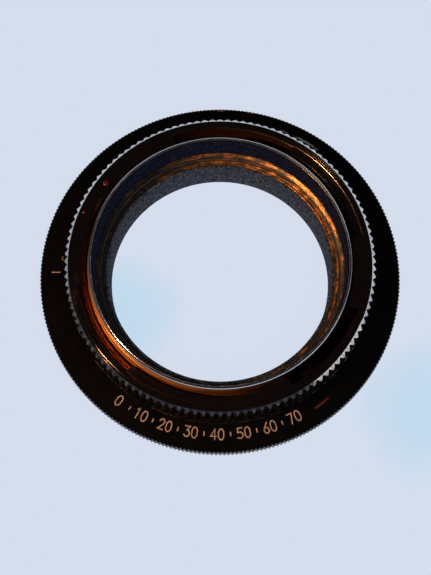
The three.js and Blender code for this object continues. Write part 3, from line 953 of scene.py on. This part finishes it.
class ADAPTER_OT_grip_flange(Operator):
    """Build the grip flange with its fine knurling, engraving and lock-pin hole"""

    bl_idname = "adapter.grip_flange"
    bl_label = "Grip flange"

    def execute(self, context):
        sizes = context.scene.ring_sizes
        crest = sizes.flange_radius / MM
        edge = crest - 0.45
        ease = 0.1
        knurling = Knurling(sizes.fine_teeth, 0.02)
        stations = []
        for angle in knurling.angles:
            out = crest - knurling.depth(angle) * sizes.fine_depth / MM
            rise = out - edge
            stations.append((angle, [
                (edge, LAND_Z),
                (out, LAND_Z + rise),
                (out, FLANGE_FRONT - rise),
                (edge, FLANGE_FRONT),
                (edge - 0.08, FLANGE_FRONT),
                (RECESS + ease, FLANGE_FRONT),
                (RECESS, FLANGE_FRONT - ease),
                (RECESS, POCKET),
                (SPIGOT + 0.05, POCKET),
                (SPIGOT + 0.05, FLANGE_BACK),
                (LAND, FLANGE_BACK),
                (LAND, LAND_Z + 0.06),
                (LAND + 0.06, LAND_Z),
            ]))
        edges = [0] * len(stations[0][1])
        edges[5] = 1  # the recess's eased edge is rubbed bare
        mesh = skin("grip_flange", stations, edges)
        wide, narrow = BUSH_BODY + 0.05, BUSH_TIP + 0.09
        sink = 0.28
        hole = spindle("hole", [
            corner(0, LAND_Z - 1),
            corner(wide, LAND_Z - 1),
            corner(wide, BUSH_SHOULDER),
            corner(narrow, BUSH_SHOULDER),
            corner(narrow, FLANGE_FRONT - 0.16),
            corner(narrow + sink, FLANGE_FRONT - 0.16 + sink),
            corner(narrow + sink, FLANGE_FRONT + 0.5),
            corner(0, FLANGE_FRONT + 0.5),
        ])
        strokes = scale_strokes(sizes.numeral_height / MM) + INDEX_LINE
        width = sizes.stroke_width / MM
        marks = engraved("marks", strokes, width, FLANGE_FRONT - ENGRAVING, FLANGE_FRONT + 0.3)
        mesh = cut(mesh, [moved(hole, at(BUSH_RADIUS, BUSH_ANGLE)), marks])
        finishes = ("black_anodised", "rubbed_edge")
        piece(context, "grip_flange_knurled", mesh, FIXED, finishes, "grip_flange")
        return {"FINISHED"}


class ADAPTER_OT_degree_scale(Operator):
    """Lay the enamel in the flange's numerals, ticks and index line"""

    bl_idname = "adapter.degree_scale"
    bl_label = "Degree scale"

    def execute(self, context):
        sizes = context.scene.ring_sizes
        width = sizes.stroke_width / MM - 0.02
        low, high = FLANGE_FRONT - ENGRAVING, FLANGE_FRONT - ENAMEL_DROP
        layers = (
            ("degree_scale", scale_strokes(sizes.numeral_height / MM), "scale_paint"),
            ("index_line", INDEX_LINE, "index_paint"),
        )
        for name, strokes, finish in layers:
            piece(context, name, engraved(name, strokes, width, low, high), FIXED, (finish,))
        return {"FINISHED"}


class ADAPTER_OT_rear_bayonet(Operator):
    """Build the rear bayonet ring with its three lugs and screw seats"""

    bl_idname = "adapter.rear_bayonet"
    bl_label = "Rear bayonet"

    lug_start: FloatProperty(
        name="Lug start", description="Where the first lug starts, in degrees", default=60.0
    )
    lug_span: FloatProperty(
        name="Lug span", description="Length of each lug, in degrees", default=48.0
    )

    def execute(self, context):
        lug_top, ease, turn_in = 1.5, 0.12, 2.6
        steps = [i * turn_in / 7 for i in range(8)]
        starts = [self.lug_start + 120 * lug for lug in range(3)]
        angles = {float(i) for i in range(360)}
        for start in starts:
            angles |= {round((start + s) % 360, 4) for s in steps}
            angles |= {round((start + self.lug_span - s) % 360, 4) for s in steps}
        stations = []
        for angle in sorted(angles):
            reach = 0.0
            for start in starts:
                inside = (angle - start) % 360
                if inside <= self.lug_span:
                    near = min(inside, self.lug_span - inside, turn_in) / turn_in
                    reach = REAR_LUG * math.sqrt(max(0.0, 1 - (1 - near) ** 2))
            out = REAR_TUBE + reach
            small = min(ease, reach)
            sleeve = REAR_SLEEVE + 0.05
            stations.append((angle, [
                (REAR_TUBE_BORE + 0.1, 0.0),
                (out - 0.15, 0.0),
                (out, 0.15),
                (out, lug_top - small),
                (out - small, lug_top),
                (REAR_TUBE, lug_top),
                (REAR_TUBE, REAR_PLATE_LOW),
                (REAR_PLATE - ease, REAR_PLATE_LOW),
                (REAR_PLATE, REAR_PLATE_LOW + ease),
                (REAR_PLATE, FLANGE_BACK),
                (sleeve, FLANGE_BACK),
                (sleeve, REAR_PLATE_LOW + ease),
                (sleeve + ease, REAR_PLATE_LOW),
                (REAR_TUBE_BORE, REAR_PLATE_LOW),
                (REAR_TUBE_BORE, 0.1),
            ]))
        mesh = skin("rear_bayonet_ring", stations, [0] * len(stations[0][1]))
        head, hole, depth = 1.3, 0.75, 0.9
        seat = spindle("seat", [
            corner(0, REAR_PLATE_LOW - 0.7),
            corner(head + ease, REAR_PLATE_LOW - 0.7),
            corner(head + ease, REAR_PLATE_LOW),
            corner(head, REAR_PLATE_LOW + ease),
            corner(head, REAR_PLATE_LOW + depth),
            corner(hole, REAR_PLATE_LOW + depth),
            corner(hole, FLANGE_BACK + 0.8),
            corner(0, FLANGE_BACK + 0.8),
        ])
        mesh = cut(mesh, [moved(seat, at(REAR_SCREW_CIRCLE, angle)) for angle in REAR_SCREW_ANGLES])
        finishes = ("bayonet_steel",)
        piece(context, "rear_bayonet_turned", mesh, FIXED, finishes, "rear_bayonet_ring")
        return {"FINISHED"}


class ADAPTER_OT_linings(Operator):
    """Line the two bores with flock, crinkled where it has come loose"""

    bl_idname = "adapter.linings"
    bl_label = "Flock linings"

    def execute(self, context):
        lower = (LIGHT_BORE, LOWER_SEAT - 0.05, REAR_END, LINING_TOP)
        upper = (NOSE_BORE - 0.45, NOSE_BORE - 0.05, SEAT_RING_TOP, UPPER_LINING_TOP)
        layers = (
            ("lower_flock_lining", lower, "grey_flock", 0.16, 26),
            ("upper_flock_lining", upper, "blue_black_flock", 0.05, 16),
        )
        for name, size, finish, crinkle, rows in layers:
            stations = [(i * 0.5, self.section(i * 0.5, size, crinkle, rows)) for i in range(720)]
            mesh = skin(name, stations, [0] * len(stations[0][1]))
            piece(context, name + "_flocked", mesh, FIXED, (finish,), name, crease=70)
        return {"FINISHED"}

    def section(self, angle, size, crinkle, rows):
        """A lining's section at an angle: plain outside, crinkled in rows inside."""
        inner, outer, low, high = size
        c, s = math.cos(math.radians(angle)), math.sin(math.radians(angle))
        points = [
            (inner + 0.2, low),
            (outer, low),
            (outer, high - 0.05),
            (outer - 0.08, high),
            (inner + 0.22, high),
        ]
        for row in range(rows + 1):
            z = high - 0.1 - (high - low - 0.2) * row / rows
            place = Vector((c * inner, s * inner, z))
            fold = noise.fractal(place * 0.9, 0.8, 2.1, 4) * crinkle
            fold += noise.noise(place * 4.0) * crinkle * 0.35
            edge = min(1.0, min(row, rows - row) / 2)
            points.append((inner + 0.05 + (1 - edge) * 0.08 + abs(fold) * edge, z))
        return points


class ADAPTER_OT_seat_ring(Operator):
    """Turn the brass seat ring with its sloping face and rubbed lip"""

    bl_idname = "adapter.seat_ring"
    bl_label = "Brass seat ring"

    def execute(self, context):
        corners = [
            corner(30.05, SEAT, 0.04),
            corner(31.55, SEAT, 0.04),
            corner(31.55, SEAT_RING_TOP, 0.03),
            corner(31.02, SEAT_RING_TOP, 0.05),
            corner(30.3, SEAT_RING_TOP - 0.42, 0.03, 1, 1),
            corner(30.05, SEAT_RING_TOP - 0.56, 0.05),
        ]
        mesh = turned("brass_seat_ring", corners)
        finishes = ("worn_brass", "turned_black")
        piece(context, "seat_ring_worn", mesh, FIXED, finishes, "brass_seat_ring")
        return {"FINISHED"}


def rounded_bar(inner, outer, low, high, ease):
    """The eight corners of a flat bar's section, counted from its lower inner side outward."""
    return [
        (inner + ease, low),
        (outer - ease, low),
        (outer, low + ease),
        (outer, high - ease),
        (outer - ease, high),
        (inner + ease, high),
        (inner, high - ease),
        (inner, low + ease),
    ]


def slotted(name, *, head, rise, shank, length, slot_width, slot_depth):
    """A cheese-head screw pointing up from z = 0, with its slot cut across the head."""
    blank = spindle(name, [
        corner(0, 0),
        corner(head, 0, 0.12 * head, 2),
        corner(head, rise, 0.04),
        corner(shank, rise),
        corner(shank, length, 0.2 * shank),
        corner(0, length),
    ])
    reach = 1.5 * head
    bar = engraved("bar", [[(reach, 0.0), (reach, 180.0)]], slot_width, -0.3, slot_depth)
    return cut(blank, [bar])


class ADAPTER_OT_rear_screws(Operator):
    """Set the six slotted screws in the rear bayonet"""

    bl_idname = "adapter.rear_screws"
    bl_label = "Rear screws"

    def execute(self, context):
        screw = slotted(
            "rear_screw", head=1.2, rise=0.9, shank=0.7, length=4.2, slot_width=0.4, slot_depth=0.4
        )
        for i, angle in enumerate(REAR_SCREW_ANGLES):
            turn = Matrix.Rotation(math.radians(37 * i * i), 4, "Z")  # no two slots line up
            mesh = moved(screw, at(REAR_SCREW_CIRCLE, angle, REAR_PLATE_LOW) @ turn)
            node = f"rear_screw_{i + 1}"
            piece(context, node + "_slotted", mesh, FIXED, ("blackened_steel",), node)
        return {"FINISHED"}


class ADAPTER_OT_lock_pin_bush(Operator):
    """Turn the bush whose tip shows in the flange's face"""

    bl_idname = "adapter.lock_pin_bush"
    bl_label = "Lock-pin bush"

    def execute(self, context):
        bore, black = 1.2, 1
        mesh = spindle("lock_pin_bush", [
            corner(0, LAND_Z + 2.0),
            corner(bore, LAND_Z + 2.0),
            corner(bore, LAND_Z, 0.1),
            corner(BUSH_BODY, LAND_Z, 0.1),
            corner(BUSH_BODY, BUSH_SHOULDER, 0.1),
            corner(BUSH_TIP, BUSH_SHOULDER),
            corner(BUSH_TIP, FLANGE_FRONT - 0.01, 0.15, 3),
            corner(0.52, FLANGE_FRONT - 0.01, finish=black),
            corner(0.45, FLANGE_FRONT - 0.12, finish=black),
            corner(0, FLANGE_FRONT - 0.12),
        ])
        mesh.transform(at(BUSH_RADIUS, BUSH_ANGLE))
        finishes = ("worn_brass", "black_anodised")
        piece(context, "lock_pin_bush_turned", mesh, FIXED, finishes, "lock_pin_bush")
        return {"FINISHED"}


class ADAPTER_OT_stop_and_washer(Operator):
    """Make the wave washer and the screw that stops the lock ring's turn"""

    bl_idname = "adapter.stop_and_washer"
    bl_label = "Stop screw and wave washer"

    def execute(self, context):
        waves, wave_height, half = 6, 0.14, 0.1
        stations = []
        for i in range(360):
            middle = POCKET + 0.275 + wave_height * math.cos(math.radians(waves * i))
            low, high = middle - half, middle + half
            stations.append((float(i), rounded_bar(35.2, 37.4, low, high, 0.02)))
        mesh = skin("wave_washer", stations, [0] * 8)
        piece(context, "wave_washer_sprung", mesh, FIXED, ("spring_steel",), "wave_washer")
        screw = slotted(
            "stop_screw", head=0.6, rise=1.2, shank=0.55, length=2.4, slot_width=0.23, slot_depth=0.3
        )
        inward = Matrix.Rotation(math.radians(-90), 4, "Y")
        screw.transform(at(*STOP_SCREW) @ inward)
        piece(context, "stop_screw_slotted", screw, FIXED, ("spring_steel",), "travel_stop_screw")
        return {"FINISHED"}


# ------------------------------------------------------------------ turning pieces


def within(angle, spans):
    return any(low < angle < high for low, high in spans)


# How far each side of a bevelled end its slope reaches, in degrees, and how deep it is.
END_WIDTH = 0.28
END_DEPTH = 0.18


class ADAPTER_OT_lock_ring(Operator):
    """Build the lock ring: coarse knurling, bright bevel, lugs, openings and notch"""

    bl_idname = "adapter.lock_ring"
    bl_label = "Lock ring"

    def execute(self, context):
        sizes = context.scene.ring_sizes
        crest, top = sizes.lock_radius / MM, sizes.lock_top / MM
        depth = sizes.coarse_depth / MM
        inner_edge = crest - sizes.lock_bevel / MM
        knurling = Knurling(sizes.coarse_teeth, 0.12, (crest - COLLAR) / depth)

        def section(angle, side):
            """The ring's section just before (-1) or just after (1) an angle."""
            probe = (angle + side * 1e-5) % 360
            out = crest - knurling.depth(angle) * depth
            outside = [
                (COLLAR - 0.06, LOCK_BOTTOM),
                (COLLAR, LOCK_BOTTOM + 0.06),
                (COLLAR, COLLAR_TOP),
                (out, COLLAR_TOP),
                (out, top - (out - inner_edge)),
                (inner_edge, top),
                (inner_edge - 0.06, top),
            ]
            return outside + self.mouth(angle, probe, top) + self.bore(probe)

        breaks = sorted({a for pair in OPENINGS + RELIEFS + [NOTCH, STOP_GROOVE] for a in pair})
        plain = [a for a in knurling.angles if all(abs(a - b) > 0.05 for b in breaks)]
        plain += [end + side * END_WIDTH for end in BEVELLED_ENDS for side in (-1, 1)]
        stations = [(a, section(a, 1)) for a in plain]
        for a in breaks:
            stations += [(a, section(a, -1)), (a, section(a, 1))]
        stations.sort(key=lambda station: station[0])
        black, bright, rubbed, channel, ledge = range(5)
        edges = [black] * len(stations[0][1])
        edges[4] = bright
        edges[1] = rubbed
        edges[16] = edges[18] = channel
        edges[7] = edges[8] = edges[12] = ledge
        mesh = skin("lock_ring", stations, edges)
        for polygon in mesh.polygons:
            x, y, z = (value / MM for value in polygon.center)
            angle = math.degrees(math.atan2(y, x)) % 360
            at_end = any(abs(angle - end) < END_WIDTH for end in BEVELLED_ENDS)
            sloped = 0.1 < polygon.normal.z < 0.97 and z > top - 1.3
            if polygon.material_index == ledge and abs(polygon.normal.z) > 0.99:
                polygon.material_index = black
            if math.hypot(x, y) < inner_edge - 0.5:
                if sloped and at_end:
                    polygon.material_index = bright
            elif sloped and 0.04 < abs(knurling.share(angle)) < 0.09:
                polygon.material_index = rubbed
        finishes = ("lock_ring_black", "bright_bevel", "rubbed_edge", "channel_wall", "step_metal")
        piece(context, "lock_ring_knurled", mesh, TURNING, finishes, "lock_ring")
        return {"FINISHED"}

    def mouth(self, angle, probe, top):
        """The twelve points from the face down to the lugs' underside.

        An opening and the notch go straight down, so most of their points fall together.
        """
        opening, relief = within(probe, OPENINGS), within(probe, RELIEFS)
        if opening or within(probe, [NOTCH]):
            side, bottom = (CHANNEL, LUG_UNDER) if opening else (NOTCH_WALL, NOTCH_BOTTOM)
            rim = [(side + 0.14, top)] + [(side, top - 0.07)] * 9
            return rim + [(side, bottom), (CHANNEL, bottom)]
        cone = NOSE_SHOULDER - NOSE_BASE
        nose, foot = (NOSE_BASE + cone * share + 0.25 for share in (0.8065, 0.4516))
        face, inner, ease = top, top, 0.0
        if relief:
            face, inner, ease = top - 0.35, top - 0.7, 0.12
            nose = foot = RELIEF_CUT
        lowered = 0.0
        for end in BEVELLED_ENDS:
            if abs(angle - end) < END_WIDTH:
                lowered = END_DEPTH * (1 - abs(angle - end) / END_WIDTH)
        return [
            (RELIEF_EDGE + 1.5 * ease, top),
            (RELIEF_EDGE, top - 0.75 * ease),
            (RELIEF_EDGE, face),
            (CHANNEL, face),
            (CHANNEL, face - lowered),
            (RELIEF_STEP + ease, face - lowered),
            (RELIEF_STEP, inner - lowered),
            (nose + 0.08, inner - lowered),
            (nose, inner - 0.08 - lowered),
            (nose, inner - 0.08 - lowered),
            (foot, LUG_UNDER),
            (CHANNEL, LUG_UNDER),
        ]

    def bore(self, probe):
        """The points of the channel, the lip, the bore and the stop screw's groove in it."""
        bore, low, high = JOURNAL + RUNNING, *STOP_GROOVE_HEIGHTS
        groove = STOP_GROOVE_WALL if within(probe, [STOP_GROOVE]) else bore
        return [
            (CHANNEL, FLOOR + RUNNING),
            (LIP, FLOOR + RUNNING),
            (LIP, RIM_UNDER - RUNNING),
            (bore, RIM_UNDER - RUNNING),
            (bore, high),
            (groove, high),
            (groove, low),
            (bore, low),
            (bore, LOCK_BOTTOM),
        ]


class ADAPTER_OT_leaf_springs(Operator):
    """Bend the three leaf springs under the lugs and set their screws"""

    bl_idname = "adapter.leaf_springs"
    bl_label = "Leaf springs"

    def execute(self, context):
        screw = slotted(
            "spring_screw", head=0.6, rise=0.3, shank=0.4, length=1.45, slot_width=0.18, slot_depth=0.15
        )
        for i, (relief, _) in enumerate(RELIEFS):
            start = relief + SPRING_LEAD
            name = f"leaf_spring_{i + 1}"
            spring = self.spring(name, start)
            piece(context, name + "_bowed", spring, TURNING, ("phosphor_bronze",), name)
            place = at(SPRING_CIRCLE, start + SPRING_SPAN * SPRING_FLAT / 2, LUG_UNDER - 0.65)
            name = f"spring_screw_{i + 1}"
            piece(context, name + "_slotted", moved(screw, place), TURNING, ("blackened_steel",), name)
        return {"FINISHED"}

    def spring(self, name, start):
        """A leaf with a flat end for its screw, a bowed middle and rounded tips."""
        steps, half_width, thickness, bow = 48, 0.6, 0.25, 0.75
        vertices, faces = [], []
        for k in range(steps + 1):
            share = k / steps
            angle = math.radians(start + SPRING_SPAN * share)
            along = max(0.0, (share - SPRING_FLAT) / (1 - SPRING_FLAT))
            low = LUG_UNDER - 0.3 - bow * math.sin(math.pi * along) ** 2
            near = min(share, 1 - share) * steps / 2
            trim = 0.35 * (1 - math.sqrt(1 - (1 - min(1.0, near)) ** 2))
            inner = SPRING_CIRCLE - half_width + trim
            outer = SPRING_CIRCLE + half_width - trim
            for r, z in rounded_bar(inner, outer, low, low + thickness, 0.04):
                vertices.append((r * math.cos(angle) * MM, r * math.sin(angle) * MM, z * MM))
        for k in range(steps):
            for side in range(8):
                n = (side + 1) % 8
                faces.append((8 * k + side, 8 * k + 8 + side, 8 * k + 8 + n, 8 * k + n))
        faces += [tuple(range(7, -1, -1)), tuple(range(8 * steps, 8 * steps + 8))]
        return mesh_of(name, vertices, faces)


class ADAPTER_OT_index_beads(Operator):
    """Set the enamel index beads in the lock ring's face"""

    bl_idname = "adapter.index_beads"
    bl_label = "Index beads"

    def execute(self, context):
        top = context.scene.ring_sizes.lock_top / MM
        foot, dome, steps = top - 0.03, 0.145, 7
        beads = (("index_bead", 0.75, 35.3, 144.5), ("index_bead_small", 0.45, 36.3, 159.5))
        for name, size, radius, angle in beads:
            corners = [corner(0, top - 0.4), corner(size, top - 0.4)]
            for k in range(steps):
                t = k / steps * math.pi / 2
                corners.append(corner(size * math.cos(t), foot + dome * math.sin(t)))
            corners.append(corner(0, foot + dome))
            mesh = spindle(name, corners)
            mesh.transform(at(radius, angle))
            piece(context, name + "_domed", mesh, TURNING, ("red_paint",), name, crease=60)
        return {"FINISHED"}


# ------------------------------------------------------------------ stage


# How far under the ring's rear end the floor lies, in millimetres.
FLOOR_DROP = 0.05

# Where the camera and the lights stand, in metres, and the point that the lights face.
CAMERA_PLACE = (-0.00115, -0.07568, 0.25326)
CAMERA_TILT = 16.37
CAMERA_LENS = 62.6
LAMP_PLACE = (-0.31, -0.132, 0.375)
PANEL_PLACE = (0.62, -0.30, 0.055)
SOFT_PLACE = (0.08, -0.2, 0.62)
LIGHTS_AIM = (0.0, 0.0, 0.015)

# Blue pools of light on the floor: centre and reach.
BLUE_POOLS = (((-0.026, -0.008, 0.0), 0.021), ((0.052, -0.034, 0.0), 0.024))


class ADAPTER_OT_stage(Operator):
    """Lay the pale floor and set the lights and the camera"""

    bl_idname = "adapter.stage"
    bl_label = "Stage"

    floor_radius: FloatProperty(
        name="Floor radius", description="Reach of the floor", default=0.62, unit="LENGTH"
    )
    lamp_power: FloatProperty(
        name="Lamp power", description="Power of the warm lamp", default=7.5, unit="POWER"
    )
    soft_power: FloatProperty(
        name="Soft light power",
        description="Power of the soft light overhead",
        default=1.7,
        unit="POWER",
    )
    panel_power: FloatProperty(
        name="Panel power", description="Power of the low panel at the right", default=0.13, unit="POWER"
    )
    lamp_spread: FloatProperty(
        name="Lamp spread",
        description="Share of the lamp's power that also lights matt surfaces",
        default=0.06,
    )

    def execute(self, context):
        scene = context.scene
        pale = colour(context, "floor")
        scene.view_settings.view_transform = "Standard"
        floor = self.make_floor(context, pale)
        self.make_world(scene, pale)
        self.make_lights(context, floor)
        eye = bpy.data.cameras.new("camera")
        eye.lens = CAMERA_LENS
        eye.sensor_width = 36.0
        camera = bpy.data.objects.new("camera", eye)
        camera.location = CAMERA_PLACE
        camera.rotation_euler = (math.radians(CAMERA_TILT), 0.0, 0.0)
        scene.collection.objects.link(camera)
        scene.camera = camera
        return {"FINISHED"}

    def make_lights(self, context, floor):
        """A warm lamp that spares the floor, a low panel and a soft light that has no glint."""
        others = bpy.data.collections.new("lamp_reach")
        others.objects.link(floor)
        others.collection_objects[0].light_linking.link_state = "EXCLUDE"
        tint = colour(context, "lamp")
        for name, power, diffuse in (
            ("warm_lamp_glint", self.lamp_power, False),
            ("warm_lamp", self.lamp_power * self.lamp_spread, True),
        ):
            lamp = self.make_light(name, LAMP_PLACE, tint, power, 0.05)
            lamp.light_linking.receiver_collection = others
            lamp.visible_diffuse = diffuse
        white, warm_white = (1.0, 0.97, 0.93), (1.0, 0.93, 0.86)
        self.make_light("right_panel", PANEL_PLACE, white, self.panel_power, 0.42, 0.10)
        soft = self.make_light("soft_top", SOFT_PLACE, warm_white, self.soft_power, 0.5)
        soft.visible_glossy = False

    def make_light(self, name, place, tint, power, width, height=None):
        """An area light aimed at the ring; square unless it has a height."""
        data = bpy.data.lights.new(name, "AREA")
        data.color = tint
        data.energy = power
        data.size = width
        if height:
            data.shape = "RECTANGLE"
            data.size_y = height
        light = bpy.data.objects.new(name, data)
        light.location = place
        aim = Vector(LIGHTS_AIM) - Vector(place)
        light.rotation_euler = aim.to_track_quat("-Z", "Y").to_euler()
        bpy.context.scene.collection.objects.link(light)
        return light

    def make_world(self, scene, pale):
        """A dim room whose backdrop the camera sees as pale as the floor."""
        world = bpy.data.worlds.new("room")
        scene.world = world
        world.use_nodes = True
        world.node_tree.nodes.clear()
        nodes = Nodes(world.node_tree)
        dim = nodes.node("ShaderNodeBackground", None, {"Color": (0.022, 0.025, 0.035)})
        seen = nodes.node("ShaderNodeBackground", None, {"Color": pale})
        by_camera = nodes.node("ShaderNodeLightPath", out="Is Camera Ray")
        shown = nodes.node("ShaderNodeMixShader", None, {0: by_camera, 1: dim, 2: seen})
        nodes.node("ShaderNodeOutputWorld", None, {"Surface": shown}, None)

    def make_floor(self, context, pale):
        """A disc whose rings widen outward, just under the ring's rear end."""
        form = bmesh.new()
        count, growth = 24, 1.5
        rings = [self.floor_radius * (i / count) ** growth for i in range(1, count + 1)]
        bmesh.ops.create_circle(form, cap_ends=True, segments=96, radius=rings[0])
        previous = list(form.verts)
        for radius in rings[1:]:
            scale = radius / previous[0].co.length
            ring = [form.verts.new(v.co * scale) for v in previous]
            for i in range(len(ring)):
                n = (i + 1) % len(ring)
                form.faces.new((previous[i], previous[n], ring[n], ring[i]))
            previous = ring
        form.normal_update()
        for face in form.faces:
            if face.normal.z < 0:
                face.normal_flip()
        mesh = bpy.data.meshes.new("floor")
        form.to_mesh(mesh)
        form.free()
        mesh.materials.append(self.floor_finish(pale))
        floor = bpy.data.objects.new("floor", mesh)
        floor.location = (0.0, 0.0, cad_low.z - FLOOR_DROP * MM)
        context.scene.collection.objects.link(floor)
        return floor

    def floor_finish(self, pale):
        """A glowing pale surface with two blue pools, dark far left and clear from below."""
        finish = Finish("pale_floor", Roughness=0.9, Specular_IOR_Level=0.1, Emission_Strength=1.0)
        place = finish.place()
        drift = finish.cloud(60.0, 3.0)
        grain = finish.cloud(700.0, 3.0, 0.6)
        blue = pale
        for centre, reach in BLUE_POOLS:
            span = finish.vector("DISTANCE", place, centre, out="Value")
            pool = 1.0 - (span + (drift - 0.5) * 0.012).step(0.2 * reach, reach)
            blue = finish.mix(pool, blue, (0.53, 0.70, 0.84))
        glow = finish.mix(grain * 0.06, blue, (0.4, 0.4, 0.45))
        left = finish.axis(place, 0).step(-0.16, -0.115)
        glow = finish.mix(left, (0.06, 0.065, 0.08), glow)
        finish.feed(Base_Color=(0.05, 0.052, 0.056), Emission_Color=glow)
        clear = finish.node("ShaderNodeBsdfTransparent")
        under = finish.node("ShaderNodeNewGeometry", out="Backfacing")
        above = Field(finish, finish.shader.outputs[0])
        both = finish.node("ShaderNodeMixShader", None, {0: under, 1: above, 2: clear})
        finish.put(finish.tree.nodes["Material Output"].inputs["Surface"], both)
        return finish.material


class ADAPTER_PT_pieces(Panel):
    """Lists the ring's pieces"""

    bl_label = "Adapter Ring"
    bl_idname = "ADAPTER_PT_pieces"
    bl_space_type = "VIEW_3D"
    bl_region_type = "UI"
    bl_category = "Adapter Ring"

    def draw(self, context):
        for operator in OPERATORS:
            self.layout.operator(operator.bl_idname)


GROUPS = (RingSizes, RingColours)
OPERATORS = (
    ADAPTER_OT_barrel,
    ADAPTER_OT_grip_flange,
    ADAPTER_OT_degree_scale,
    ADAPTER_OT_rear_bayonet,
    ADAPTER_OT_linings,
    ADAPTER_OT_seat_ring,
    ADAPTER_OT_rear_screws,
    ADAPTER_OT_lock_pin_bush,
    ADAPTER_OT_stop_and_washer,
    ADAPTER_OT_lock_ring,
    ADAPTER_OT_leaf_springs,
    ADAPTER_OT_index_beads,
    ADAPTER_OT_stage,
)


def register():
    for kind in (*GROUPS, *OPERATORS, ADAPTER_PT_pieces):
        bpy.utils.register_class(kind)
    bpy.types.Scene.ring_sizes = PointerProperty(type=RingSizes)
    bpy.types.Scene.ring_colours = PointerProperty(type=RingColours)


def unregister():
    del bpy.types.Scene.ring_colours
    del bpy.types.Scene.ring_sizes
    for kind in reversed((*GROUPS, *OPERATORS, ADAPTER_PT_pieces)):
        bpy.utils.unregister_class(kind)


def main():
    register()
    for operator in OPERATORS:
        group, name = operator.bl_idname.split(".")
        getattr(getattr(bpy.ops, group), name)()


if __name__ == "__main__":
    main()
